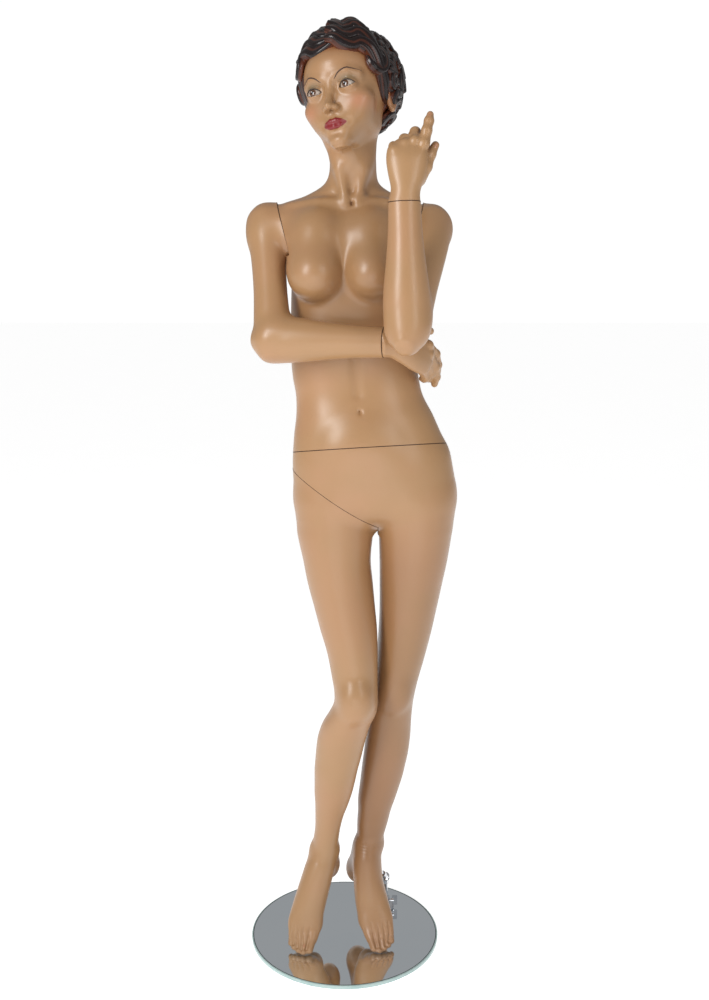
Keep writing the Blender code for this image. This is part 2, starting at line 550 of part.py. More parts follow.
def build_lower_body():
    outside = join(level_loft(TRUNK[:8], 24), level_loft(STANDING_LEG, 16),
                   bent_limb(STANDING_FOOT, (1, 0, 0), 12, 1),
                   *[egg(*spot, 0.0, 8, 6) for spot in HEELS["standing"] + TOES["standing"]])
    outside = cut(outside, half_space(WAIST_POINT - WAIST_NORMAL * GAP / 2, WAIST_NORMAL),
                  bent_leg_space(-GAP / 2))
    cavity = join(hips_cavity(WALL), level_loft(STANDING_LEG[1:20:3], 12, 1, WALL))
    bore_start = KNOB_CENTRE + PIN_DIRECTION * 0.05
    shell = cut(outside, cavity, rod(bore_start, PIN_DIRECTION, SOCKET_RADIUS + GAP, SOCKET_END + GAP - 0.05))
    add_part("lower_body_shell", shell, "skin", HIP_POINT)

    socket = rod(KNOB_CENTRE + PIN_DIRECTION * SOCKET_START, PIN_DIRECTION, SOCKET_RADIUS,
                 SOCKET_END - SOCKET_START)
    bore = rod(KNOB_CENTRE, PIN_DIRECTION, PIN_RADIUS + GAP, PIN_END + GAP)
    add_part("ankle_socket", cut(socket, bore), "steel", KNOB_CENTRE)


def build_bent_leg():
    thigh_top = common(level_loft(TRUNK[:5], 24), bent_leg_space(GAP / 2))
    for share in (0.25, 0.5, 0.75, 1.0):
        turn = Matrix.Rotation(LEG_CLEARANCE_TURN * share, 4, HIP_NORMAL)
        space = bent_leg_space(GAP)
        space.transform(Matrix.Translation(LEG_KEY) @ turn @ Matrix.Translation(-LEG_KEY))
        thigh_top = common(thigh_top, space)
    outside = join(level_loft(BENT_LEG, 16), bent_limb(BENT_FOOT, (1, 0, 0), 12, 1),
                   *[egg(*spot, 0.0, 8, 6) for spot in HEELS["bent"] + TOES["bent"]])
    outside = join(thigh_top, cut(outside, half_space(HIP_POINT - HIP_NORMAL * GAP / 2, HIP_NORMAL)))
    add_part("right_leg_shell", cut(outside, bent_leg_cavity(WALL)), "skin", LEG_KEY)


def build_hip_joint():
    slot = [rod(LEG_KEY - HIP_NORMAL * 0.02, HIP_NORMAL, 0.0085, 0.04),
            box((0.034, 0.0125, 0.036), facing(LEG_KEY, HIP_NORMAL) @ Matrix.Rotation(LEG_KEY_TURN, 4, "Z"))]
    upper = common(hips_cavity(WALL + PLATE_GAP), slab(LEG_KEY, HIP_NORMAL, GAP, 0.0055, 0.19))
    add_part("hip_leg_plate", cut(upper, *slot), "plate", LEG_KEY)
    lower = common(bent_leg_cavity(WALL + PLATE_GAP), slab(LEG_KEY, HIP_NORMAL, -0.0055, -GAP, 0.19))
    hole = rod(LEG_KEY - HIP_NORMAL * 0.02, HIP_NORMAL, 0.0083, 0.04)
    add_part("leg_top_plate", cut(lower, hole), "plate", LEG_KEY)
    key = join(rod(LEG_KEY - HIP_NORMAL * 0.0100, HIP_NORMAL, 0.016, 0.0042),
               rod(LEG_KEY - HIP_NORMAL * 0.0100, HIP_NORMAL, 0.0080, 0.0205),
               box((0.032, 0.011, 0.004), facing(LEG_KEY + HIP_NORMAL * 0.0085, HIP_NORMAL)))
    add_part("leg_key", key, "steel", LEG_KEY)


# ---------------------------------------------------------------- torso

def torso_cavity(shrink):
    rows = [(z - (WALL if z > 1.4 else 0.0), *rest) for z, *rest in TRUNK[3:]]
    skull = egg((0.010, 0.000, 1.655), (0.058 - shrink, 0.070 - shrink, 0.075 - shrink))
    return join(level_loft(rows, 16, 1, shrink), skull)


def shoulder_space(side, low, high, depth, start=0.0, width=0.4):
    """A slice of space beside a shoulder's seam plane, between two heights in that plane."""
    up, out = unit_up(side)
    centre = SHOULDER_POINTS[side] + up * (low + high) / 2 + out * (start + depth / 2)
    return box((width, high - low, depth), shoulder_matrix(side, centre))


def build_torso():
    outside = join(level_loft(TRUNK[3:], 24), *[egg(*spot) for spot in BUST + SKULL + HAIR])
    trims = [half_space(WAIST_POINT + WAIST_NORMAL * GAP / 2, -WAIST_NORMAL)]
    for side in ("right", "left"):
        trims.append(shoulder_space(side, -0.062, 0.10, 0.2, -GAP / 2))
    outside = cut(outside, *trims)
    for side in ("right", "left"):
        up, out = unit_up(side)
        arm = limb(SHOULDER_CENTRE[side], ELBOW_CENTRE[side], UPPER_ARM[side], (1, 0, 0), 20, -0.0015)
        outside = cut(outside, common(arm, shoulder_space(side, -0.30, 0.10, 0.2)))
    add_part("torso_shell", cut(outside, torso_cavity(TORSO_WALL)), "skin", WAIST_POINT)


def build_waist_joint():
    n = WAIST_NORMAL
    hole = (WAIST_POINT - n * 0.02, n, 0.0143, 0.04)
    hip_plate = common(hips_cavity(WALL + PLATE_GAP), slab(WAIST_POINT, n, -0.006, -GAP))
    add_part("hip_waist_plate", cut(hip_plate, rod(*hole)), "plate", WAIST_POINT)
    torso_plate = common(torso_cavity(TORSO_WALL + PLATE_GAP), slab(WAIST_POINT, n, GAP, 0.006))
    add_part("torso_waist_plate", cut(torso_plate, rod(*hole)), "plate", WAIST_POINT)
    turned("waist_spigot", [(0, 0.058), (0.011, 0.058), (0.014, 0.052), (0.014, -0.0065), (0.032, -0.0065),
                            (0.032, -0.0105), (0, -0.0105)], WAIST_POINT, n, "steel", 28)
    seat = WAIST_POINT + n * 0.0065
    socket = join(rod(seat, n, 0.032, 0.003, 28), rod(seat, n, 0.018, 0.040, 28))
    add_part("waist_socket", cut(socket, rod(WAIST_POINT, n, 0.0143, 0.08, 28)), "steel", WAIST_POINT)


# ---------------------------------------------------------------- arms and hands

def arm_cavity(side, shrink):
    centre, radii = DELTOID[side]
    return join(limb(SHOULDER_CENTRE[side], ELBOW_CENTRE[side], UPPER_ARM[side][1:-1], (1, 0, 0), 10, shrink),
                limb(ELBOW_CENTRE[side], WRIST_CENTRE[side], FOREARM[side][1:], FOREARM_REFERENCE[side], 10,
                     shrink),
                egg(centre, [radius - shrink for radius in radii], 0, 12, 8))


def forearm_axis(side):
    return (Vector(WRIST_CENTRE[side]) - Vector(ELBOW_CENTRE[side])).normalized()


def build_arm(side):
    up, out = unit_up(side)
    axis = forearm_axis(side)
    wrist = Vector(WRIST_CENTRE[side])
    outside = join(limb(SHOULDER_CENTRE[side], ELBOW_CENTRE[side], UPPER_ARM[side], (1, 0, 0), 14),
                   limb(ELBOW_CENTRE[side], WRIST_CENTRE[side], FOREARM[side], FOREARM_REFERENCE[side], 14),
                   egg(*DELTOID[side]))
    outside = cut(outside, shoulder_space(side, -0.09, 0.10, 0.1, GAP / 2 - 0.1, 0.2),
                  box((0.12, 0.12, 0.05), facing(wrist + axis * (0.025 - GAP / 2), axis)))
    add_part(side + "_arm_shell", cut(outside, arm_cavity(side, WALL)), "skin", SHOULDER_POINTS[side])


def build_shoulder(side):
    up, out = unit_up(side)
    key_point = SHOULDER_POINTS[side] - up * KEY_DROP
    inner = common(torso_cavity(TORSO_WALL + PLATE_GAP),
                   shoulder_space(side, -0.058, 0.10, 0.0045, -0.0045 - GAP))
    plate = cut(inner, rod(key_point - out * 0.02, out, 0.0043, 0.04),
                rod(key_point + up * KEY_TRAVEL - out * 0.02, out, 0.0075, 0.04),
                box((0.0086, KEY_TRAVEL, 0.036), shoulder_matrix(side, key_point + up * KEY_TRAVEL / 2)))
    add_part(side + "_torso_shoulder_plate", plate, "plate", key_point)

    centre, radii = DELTOID[side]
    outer = common(egg(centre, [radius - WALL - PLATE_GAP for radius in radii], 0, 12, 8),
                   shoulder_space(side, -0.058, 0.10, 0.0045, GAP))
    hole = rod(key_point - out * 0.02, out, 0.0043, 0.04)
    add_part(side + "_arm_shoulder_plate", cut(outer, hole), "plate", key_point)
    turned(side + "_shoulder_key",
           [(0, 0.0085), (0.007, 0.0085), (0.007, 0.0052), (0.004, 0.0052),
            (0.004, -0.0052), (0.007, -0.0052),
            (0.007, -0.0080), (0, -0.0080)], key_point, out, "steel", 20)


def shoulder_matrix(side, centre):
    """A frame at a point whose Y runs up the seam plane and whose Z runs out to the arm."""
    up, out = unit_up(side)
    across = up.cross(out)
    return Matrix(((across.x, up.x, out.x, centre.x), (across.y, up.y, out.y, centre.y),
                   (across.z, up.z, out.z, centre.z), (0.0, 0.0, 0.0, 1.0)))


def build_hand(side):
    wrist = Vector(WRIST_CENTRE[side])
    axis = forearm_axis(side)
    reference = (0.0, 0.3, 1.0) if side == "right" else (1.0, 0.0, 0.0)
    start = tuple(wrist - axis * 0.008) + PALM[side][0][3:]
    hand = bent_limb([start] + PALM[side], reference, 14, 1)
    for finger in FINGERS[side]:
        root, tip = Vector(finger[0][:3]), Vector(finger[-1][:3])
        bone = bent_limb(finger, (tip - root).orthogonal(), 8, 1)
        hand = join(hand, bone, egg(finger[-1][:3], (finger[-1][3],) * 3, 0, 8, 5))
    hand = cut(hand, half_space(wrist + axis * GAP / 2, -axis, 0.3),
               rod(wrist - axis * 0.02, axis, PEG_RADIUS + GAP, 0.02 + PEG_DEPTH + GAP, 16))
    add_part(side + "_hand", hand, "skin", wrist)

    inside = limb(ELBOW_CENTRE[side], WRIST_CENTRE[side], FOREARM[side][1:], FOREARM_REFERENCE[side], 10,
                  WALL + PLATE_GAP)
    plate = common(inside, slab(wrist, axis, -0.0045, -GAP, 0.1))
    hole = rod(wrist - axis * 0.02, axis, PEG_RADIUS + GAP, 0.04)
    add_part(side + "_wrist_plate", cut(plate, hole), "plate", wrist)
    turned(side + "_wrist_peg",
           [(0, PEG_DEPTH), (PEG_RADIUS, PEG_DEPTH), (PEG_RADIUS, -0.0050),
            (0.0085, -0.0050), (0.0085, -0.0080),
            (0, -0.0080)], wrist, axis, "steel", 20)


build_base()
build_support()
build_lower_body()
build_bent_leg()
build_hip_joint()
build_torso()
build_waist_joint()
for arm_side in ("right", "left"):
    build_arm(arm_side)
    build_shoulder(arm_side)
    build_hand(arm_side)
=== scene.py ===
"""Finished look of the full body mannequin: painted glass-fibre figure, sculpted hair, mirror-glass base.

The figure is modelled like clay: soft volumes are added and carved on a grid of distances, and a smooth skin
is laid over the result. Metres, +Z up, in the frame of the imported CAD; the figure faces -Y.
"""
import math

import bmesh
import bpy
import numpy as np
from mathutils import Matrix, Vector


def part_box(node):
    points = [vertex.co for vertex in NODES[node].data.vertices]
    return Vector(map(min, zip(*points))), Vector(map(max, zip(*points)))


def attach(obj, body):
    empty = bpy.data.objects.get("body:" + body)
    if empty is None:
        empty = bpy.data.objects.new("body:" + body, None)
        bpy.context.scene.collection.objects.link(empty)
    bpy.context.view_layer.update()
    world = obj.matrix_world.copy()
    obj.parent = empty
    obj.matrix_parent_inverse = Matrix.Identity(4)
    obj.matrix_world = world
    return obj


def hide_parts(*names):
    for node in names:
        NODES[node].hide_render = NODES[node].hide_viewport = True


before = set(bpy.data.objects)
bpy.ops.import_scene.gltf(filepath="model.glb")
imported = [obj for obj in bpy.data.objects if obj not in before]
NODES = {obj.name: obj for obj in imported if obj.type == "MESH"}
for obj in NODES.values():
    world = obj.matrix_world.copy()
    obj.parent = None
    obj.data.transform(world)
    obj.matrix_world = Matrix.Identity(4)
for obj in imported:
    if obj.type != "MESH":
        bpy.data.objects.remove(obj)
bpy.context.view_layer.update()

# ---------------------------------------------------------------- sizes shared with the CAD

SEAM_GAP = 0.0003
WAIST_POINT = Vector((0.050, 0.000, 1.0155))
WAIST_NORMAL = Vector((-0.060, 0.180, 1.0)).normalized()
HIP_POINT = Vector((-0.014, 0.000, 0.924))
HIP_NORMAL = Vector((0.547, 0.000, 0.837)).normalized()
HIP_SPLIT_X = 0.0648
SHOULDER_TILT = math.radians(15.0)
SHOULDER_POINTS = {"right": Vector((-0.1120, 0.026, 1.430)), "left": Vector((0.1360, 0.026, 1.430))}
SHOULDER_CENTRE = {"right": (-0.141, 0.033, 1.428), "left": (0.160, 0.004, 1.422)}
ELBOW_CENTRE = {"right": (-0.125, -0.075, 1.2235), "left": (0.109, -0.190, 1.245)}
WRIST_CENTRE = {"right": (0.0714, -0.122, 1.2220), "left": (0.103, -0.172, 1.4575)}
PEG_RADIUS = 0.006
NECK_CUT = 1.528                # where the finer mesh of the head takes over
SHIN_CUT = 0.249                # where the finer meshes of the feet take over
LIMB_WALL, TORSO_WALL = 0.0042, 0.0052
TRUNK_X = 0.0155                # the middle of the neck and collar bones
# Cells of the clay grids.
HIP_CELL, TORSO_CELL, ARM_CELL, HAND_CELL = 0.0034, 0.0036, 0.0025, 0.0012
FOOT_CELL, HEAD_CELL, HAIR_CELL = 0.0013, 0.00148, 0.0022
SIDES = ("right", "left")
SIGNS = (-1, 1)

# Level sections: z, centre x, centre y, half width, front, back, squareness.
TRUNK = [
    (0.862, 0.060, 0.010, 0.045, 0.030, 0.036, 2.0),
    (0.874, 0.060, 0.004, 0.092, 0.054, 0.062, 2.1),
    (0.892, 0.059, -0.002, 0.128, 0.072, 0.090, 2.2),
    (0.915, 0.059, -0.003, 0.145, 0.084, 0.106, 2.3),
    (0.945, 0.058, -0.003, 0.152, 0.090, 0.112, 2.3),
    (0.985, 0.054, -0.003, 0.150, 0.090, 0.104, 2.3),
    (1.015, 0.051, -0.003, 0.146, 0.087, 0.092, 2.3),
    (1.045, 0.0445, -0.002, 0.137, 0.083, 0.080, 2.3),
    (1.080, 0.0385, 0.000, 0.127, 0.078, 0.071, 2.3),
    (1.115, 0.0290, 0.004, 0.118, 0.073, 0.067, 2.3),
    (1.150, 0.0220, 0.008, 0.117, 0.073, 0.069, 2.3),
    (1.190, 0.0180, 0.012, 0.116, 0.077, 0.074, 2.3),
    (1.230, 0.0165, 0.016, 0.115, 0.083, 0.080, 2.3),
    (1.280, 0.0170, 0.020, 0.114, 0.089, 0.086, 2.3),
    (1.330, 0.0180, 0.023, 0.115, 0.090, 0.088, 2.3),
    (1.375, 0.0150, 0.024, 0.123, 0.084, 0.084, 2.3),
    (1.410, 0.0130, 0.024, 0.144, 0.073, 0.075, 2.2),
    (1.440, 0.0125, 0.025, 0.149, 0.060, 0.062, 2.2),
    (1.460, 0.0130, 0.026, 0.119, 0.049, 0.052, 2.0),
    (1.475, 0.0145, 0.024, 0.079, 0.044, 0.048, 2.0),
    (1.492, 0.0150, 0.020, 0.0495, 0.044, 0.048, 2.0),
    (1.513, 0.0170, 0.015, 0.0430, 0.045, 0.048, 2.0),
    (1.540, 0.0170, 0.009, 0.0415, 0.047, 0.050, 2.0),
    (1.590, 0.0130, 0.006, 0.0410, 0.047, 0.053, 2.0),
    (1.630, 0.0130, 0.006, 0.0430, 0.045, 0.056, 2.0),
]
BENT_LEG = [
    (0.990, 0.004, 0.000, 0.040, 0.036, 0.045, 2.0),
    (0.960, -0.008, 0.000, 0.066, 0.062, 0.076, 2.1),
    (0.920, -0.016, 0.000, 0.077, 0.080, 0.094, 2.1),
    (0.872, -0.0165, -0.003, 0.0735, 0.082, 0.090, 2.1),
    (0.849, -0.0165, -0.006, 0.0715, 0.081, 0.085, 2.1),
    (0.804, -0.0135, -0.013, 0.0645, 0.078, 0.076, 2.1),
    (0.759, -0.0070, -0.022, 0.0620, 0.074, 0.069, 2.0),
    (0.716, 0.0010, -0.032, 0.0580, 0.070, 0.062, 2.0),
    (0.673, 0.0090, -0.044, 0.0540, 0.064, 0.056, 2.0),
    (0.631, 0.0160, -0.056, 0.0480, 0.057, 0.052, 2.0),
    (0.586, 0.0205, -0.067, 0.0435, 0.050, 0.050, 2.0),
    (0.560, 0.0228, -0.073, 0.0415, 0.050, 0.048, 2.0),
    (0.538, 0.0226, -0.076, 0.0418, 0.050, 0.047, 2.0),
    (0.515, 0.0158, -0.074, 0.0450, 0.046, 0.050, 2.0),
    (0.492, 0.0048, -0.068, 0.0463, 0.042, 0.055, 2.0),
    (0.465, -0.0030, -0.060, 0.0470, 0.040, 0.062, 2.0),
    (0.438, -0.0080, -0.052, 0.0460, 0.038, 0.066, 2.0),
    (0.411, -0.0118, -0.044, 0.0445, 0.037, 0.066, 2.0),
    (0.384, -0.0160, -0.037, 0.0425, 0.036, 0.062, 2.0),
    (0.354, -0.0190, -0.029, 0.0400, 0.034, 0.055, 2.0),
    (0.326, -0.0222, -0.022, 0.0372, 0.032, 0.047, 2.0),
    (0.298, -0.0257, -0.015, 0.0328, 0.030, 0.040, 2.0),
    (0.270, -0.0303, -0.009, 0.0283, 0.028, 0.034, 2.0),
    (0.241, -0.0340, -0.004, 0.0255, 0.027, 0.030, 2.0),
    (0.212, -0.0380, 0.000, 0.0255, 0.028, 0.030, 2.0),
    (0.185, -0.0420, 0.001, 0.0255, 0.029, 0.030, 2.0),
    (0.160, -0.0470, -0.002, 0.0160, 0.016, 0.018, 2.0),
]
STANDING_LEG = [
    (0.990, 0.112, -0.002, 0.040, 0.036, 0.045, 2.0),
    (0.960, 0.126, -0.002, 0.066, 0.062, 0.078, 2.1),
    (0.920, 0.134, -0.002, 0.0765, 0.080, 0.098, 2.1),
    (0.872, 0.1355, -0.004, 0.0720, 0.080, 0.092, 2.1),
    (0.849, 0.1353, -0.005, 0.0690, 0.079, 0.086, 2.1),
    (0.801, 0.1323, -0.007, 0.0645, 0.076, 0.077, 2.1),
    (0.754, 0.1278, -0.009, 0.0597, 0.072, 0.070, 2.0),
    (0.705, 0.1228, -0.011, 0.0547, 0.067, 0.063, 2.0),
    (0.657, 0.1168, -0.012, 0.0507, 0.061, 0.057, 2.0),
    (0.608, 0.1088, -0.013, 0.0468, 0.055, 0.053, 2.0),
    (0.558, 0.0990, -0.013, 0.0436, 0.050, 0.050, 2.0),
    (0.525, 0.0935, -0.012, 0.0426, 0.049, 0.048, 2.0),
    (0.500, 0.0905, -0.009, 0.0428, 0.046, 0.050, 2.0),
    (0.470, 0.0885, -0.004, 0.0430, 0.042, 0.056, 2.0),
    (0.440, 0.0868, 0.001, 0.0438, 0.040, 0.062, 2.0),
    (0.403, 0.0830, 0.006, 0.0440, 0.039, 0.066, 2.0),
    (0.376, 0.0790, 0.010, 0.0432, 0.038, 0.064, 2.0),
    (0.349, 0.0750, 0.014, 0.0420, 0.036, 0.058, 2.0),
    (0.322, 0.0700, 0.018, 0.0400, 0.034, 0.051, 2.0),
    (0.294, 0.0645, 0.021, 0.0375, 0.032, 0.044, 2.0),
    (0.268, 0.0605, 0.024, 0.0335, 0.030, 0.038, 2.0),
    (0.239, 0.0565, 0.027, 0.0310, 0.028, 0.034, 2.0),
    (0.209, 0.0525, 0.030, 0.0275, 0.028, 0.032, 2.0),
    (0.183, 0.0492, 0.030, 0.0265, 0.030, 0.032, 2.0),
    (0.160, 0.0465, 0.020, 0.0160, 0.016, 0.018, 2.0),
]
# Feet on tiptoe: centre x, y, z, half width and half thickness across the path from ankle to toes.
BENT_FOOT = [
    (-0.038, 0.004, 0.212, 0.018, 0.020), (-0.041, 0.004, 0.188, 0.0250, 0.029),
    (-0.048, -0.004, 0.162, 0.0295, 0.034), (-0.060, -0.020, 0.125, 0.031, 0.030),
    (-0.072, -0.036, 0.086, 0.0325, 0.024), (-0.0790, -0.050, 0.060, 0.0335, 0.0165),
    (-0.0815, -0.062, 0.045, 0.0310, 0.0110), (-0.0840, -0.072, 0.033, 0.0270, 0.0075),
]
STANDING_FOOT = [
    (0.052, 0.030, 0.212, 0.018, 0.020), (0.0495, 0.029, 0.188, 0.0260, 0.030),
    (0.046, 0.020, 0.160, 0.029, 0.035), (0.048, 0.002, 0.122, 0.030, 0.031),
    (0.055, -0.018, 0.086, 0.033, 0.024), (0.0630, -0.038, 0.060, 0.0335, 0.0165),
    (0.0680, -0.053, 0.045, 0.0310, 0.0110), (0.0720, -0.064, 0.033, 0.0270, 0.0075),
]
UPPER_ARM = {
    "right": [(-0.12, 0.020, 0.022), (-0.06, 0.032, 0.033), (0.0, 0.036, 0.036), (0.15, 0.035, 0.037),
              (0.35, 0.0315, 0.035), (0.6, 0.0305, 0.034), (0.85, 0.033, 0.035), (1.0, 0.034, 0.034),
              (1.07, 0.024, 0.024), (1.12, 0.010, 0.010)],
    "left": [(-0.12, 0.020, 0.022), (-0.06, 0.032, 0.033), (0.0, 0.0365, 0.036), (0.15, 0.038, 0.038),
             (0.35, 0.037, 0.036), (0.6, 0.035, 0.035), (0.85, 0.035, 0.035), (1.0, 0.033, 0.033),
             (1.07, 0.022, 0.022), (1.12, 0.010, 0.010)],
}
FOREARM = {
    "right": [(-0.135, 0.003, 0.003), (-0.130, 0.011, 0.011), (-0.115, 0.018, 0.018), (-0.08, 0.027, 0.026),
              (-0.035, 0.034, 0.032), (0.04, 0.039, 0.035), (0.15, 0.041, 0.037), (0.3, 0.0385, 0.0355),
              (0.5, 0.0335, 0.032), (0.75, 0.0290, 0.0275), (1.06, 0.0265, 0.0222)],
    "left": [(-0.125, 0.003, 0.003), (-0.120, 0.011, 0.011), (-0.105, 0.018, 0.018), (-0.07, 0.0255, 0.0245),
             (-0.03, 0.031, 0.029), (0.05, 0.0365, 0.034), (0.2, 0.0400, 0.036), (0.35, 0.0385, 0.035),
             (0.55, 0.0335, 0.031), (0.78, 0.0292, 0.026), (1.06, 0.0270, 0.0205)],
}
FOREARM_REFERENCE = {"right": (0.0, 0.0, 1.0), "left": (1.0, 0.0, 0.0)}
PALM = {
    "right": [(0.0652, -0.1234, 1.2220, 0.0265, 0.0222), (0.0712, -0.122, 1.2223, 0.0265, 0.0222),
              (0.088, -0.119, 1.2205, 0.0262, 0.0195),
              (0.108, -0.109, 1.2130, 0.031, 0.0165), (0.128, -0.093, 1.2030, 0.0355, 0.0150),
              (0.145, -0.075, 1.1930, 0.0345, 0.0125), (0.150, -0.068, 1.1895, 0.029, 0.009)],
    "left": [(0.1035, -0.172, 1.4500, 0.0270, 0.0205), (0.103, -0.172, 1.4575, 0.0270, 0.0205),
             (0.1045, -0.173, 1.4760, 0.0245, 0.0190),
             (0.1060, -0.172, 1.4980, 0.0300, 0.0175), (0.1065, -0.169, 1.5250, 0.0345, 0.0160),
             (0.1078, -0.164, 1.5430, 0.0325, 0.0120), (0.1085, -0.160, 1.5540, 0.0230, 0.0060)],
}
FINGERS = {
    "right": [
        [(0.150, -0.072, 1.212, 0.0098), (0.166, -0.047, 1.195, 0.0088), (0.1715, -0.030, 1.174, 0.0080),
         (0.172, -0.019, 1.158, 0.0066)],
        [(0.151, -0.070, 1.196, 0.0098), (0.166, -0.046, 1.172, 0.0088), (0.169, -0.031, 1.152, 0.0080),
         (0.167, -0.023, 1.138, 0.0064)],
        [(0.148, -0.069, 1.180, 0.0093), (0.158, -0.045, 1.160, 0.0083), (0.156, -0.027, 1.150, 0.0076),
         (0.151, -0.015, 1.146, 0.0062)],
        [(0.141, -0.071, 1.168, 0.0085), (0.149, -0.050, 1.153, 0.0075), (0.1475, -0.033, 1.149, 0.0068),
         (0.1435, -0.022, 1.148, 0.0056)],
        [(0.098, -0.115, 1.232, 0.0115), (0.120, -0.105, 1.246, 0.0105), (0.141, -0.089, 1.244, 0.0092),
         (0.155, -0.075, 1.238, 0.0066)],
    ],
    "left": [
        [(0.1345, -0.163, 1.551, 0.0098), (0.1390, -0.160, 1.572, 0.0086), (0.1430, -0.154, 1.588, 0.0078),
         (0.1452, -0.150, 1.5985, 0.0060)],
        [(0.1195, -0.161, 1.555, 0.0098), (0.1210, -0.143, 1.571, 0.0088), (0.1190, -0.125, 1.568, 0.0080),
         (0.1180, -0.116, 1.558, 0.0064)],
        [(0.1040, -0.161, 1.550, 0.0094), (0.1030, -0.143, 1.560, 0.0085), (0.1030, -0.127, 1.552, 0.0078),
         (0.1040, -0.122, 1.540, 0.0064)],
        [(0.0860, -0.163, 1.539, 0.0088), (0.0850, -0.146, 1.548, 0.0078), (0.0860, -0.132, 1.541, 0.0070),
         (0.0880, -0.127, 1.531, 0.0058)],
        [(0.126, -0.163, 1.495, 0.0130), (0.138, -0.158, 1.515, 0.0108), (0.146, -0.152, 1.535, 0.0092),
         (0.1545, -0.148, 1.550, 0.0068)],
    ],
}


# ---------------------------------------------------------------- distances to soft volumes

def smooth_rows(rows, steps=8):
    """Rows of numbers with a smooth curve through them, steps rows for each one given."""
    rows = np.array(rows, float)
    last = len(rows) - 1
    out = []
    for i in range(last):
        before, here, there, after = rows[max(i - 1, 0)], rows[i], rows[i + 1], rows[min(i + 2, last)]
        for k in range(steps):
            t = k / steps
            out.append(0.5 * (2 * here + (there - before) * t
                              + (2 * before - 5 * here + 4 * there - after) * t * t
                              + (3 * here - before - 3 * there + after) * t ** 3))
    out.append(rows[last])
    return np.array(out)


def soft_min(a, b, soft):
    """The smaller of two distances, with a fillet of about that size where they meet."""
    if soft <= 0:
        return np.minimum(a, b)
    near = np.maximum(soft - np.abs(a - b), 0.0) / soft
    return np.minimum(a, b) - near * near * soft * 0.25


def column(rows):
    """A body of level sections, as (distance, low corner, high corner)."""
    table = smooth_rows(sorted(rows), 6)

    def distance(x, y, z):
        cx, cy, half, front, back, power = (np.interp(z, table[:, 0], table[:, i]).astype(np.float32)
                                            for i in range(1, 7))
        across = np.abs(x - cx) / half
        along = y - cy
        depth = np.where(along < 0, front, back)
        along = np.abs(along) / depth
        reach = (across ** power + along ** power) ** (1 / power) + 1e-6
        slope = np.sqrt((across ** (power - 1) / half) ** 2 + (along ** (power - 1) / depth) ** 2)
        flat = (reach - 1) / (slope / reach ** (power - 1) + 1e-3)
        return np.maximum(flat, np.maximum(table[0, 0] - z, z - table[-1, 0]))

    low = [(table[:, 1] - table[:, 3]).min(), (table[:, 2] - table[:, 4]).min(), table[0, 0]]
    high = [(table[:, 1] + table[:, 3]).max(), (table[:, 2] + table[:, 5]).max(), table[-1, 0]]
    return distance, low, high


def unit(vector):
    vector = np.array(vector, float)
    return vector / np.linalg.norm(vector)


def oval(u, v, a, b):
    """Distance to an oval with radii a and b, near its surface."""
    reach = np.sqrt((u / a) ** 2 + (v / b) ** 2) + 1e-6
    return (reach - 1) * reach / np.sqrt((u / a ** 2) ** 2 + (v / b ** 2) ** 2 + 1e-4)


def limb(start, end, rows, reference, grow=0.0):
    """A straight limb: rows give the fraction along it, the radius along the reference and across it."""
    start, end = np.array(start, float), np.array(end, float)
    length = np.linalg.norm(end - start)
    axis = (end - start) / length
    across = unit(np.cross(axis, reference))
    along = np.cross(across, axis)
    table = smooth_rows(rows, 6)

    def distance(x, y, z):
        dx, dy, dz = x - start[0], y - start[1], z - start[2]
        t = (dx * axis[0] + dy * axis[1] + dz * axis[2]) / length
        u = dx * along[0] + dy * along[1] + dz * along[2]
        v = dx * across[0] + dy * across[1] + dz * across[2]
        wide = np.interp(t, table[:, 0], table[:, 1]) + grow
        deep = np.interp(t, table[:, 0], table[:, 2]) + grow
        return np.maximum(oval(u, v, wide, deep), np.maximum(table[0, 0] - t, t - table[-1, 0]) * length)

    reach = table[:, 1:].max() + grow
    ends = np.array([start + (end - start) * table[0, 0], start + (end - start) * table[-1, 0]])
    return distance, ends.min(0) - reach, ends.max(0) + reach


def bent_limb(rows, reference, steps=4):
    """A limb along a curved path: rows give its centre and its radii along the reference and across it."""
    table = smooth_rows(rows, steps)
    centres = table[:, :3]

    def distance(x, y, z):
        best = None
        for i in range(len(table) - 1):
            a, b = centres[i], centres[i + 1]
            step = b - a
            span = float(step @ step)
            dx, dy, dz = x - a[0], y - a[1], z - a[2]
            t = np.clip((dx * step[0] + dy * step[1] + dz * step[2]) / span, 0, 1)
            dx, dy, dz = dx - t * step[0], dy - t * step[1], dz - t * step[2]
            axis = unit(step)
            across = unit(np.cross(axis, reference))
            along = np.cross(across, axis)
            wide = table[i, 3] + t * (table[i + 1, 3] - table[i, 3])
            deep = table[i, 4] + t * (table[i + 1, 4] - table[i, 4])
            u = dx * along[0] + dy * along[1] + dz * along[2]
            v = dx * across[0] + dy * across[1] + dz * across[2]
            w = dx * axis[0] + dy * axis[1] + dz * axis[2]
            here = np.sqrt(oval(u, v, wide, deep).clip(0) ** 2 + w * w) + oval(u, v, wide, deep).clip(None, 0)
            best = here if best is None else np.minimum(best, here)
        return best

    reach = table[:, 3:].max()
    return distance, centres.min(0) - reach, centres.max(0) + reach


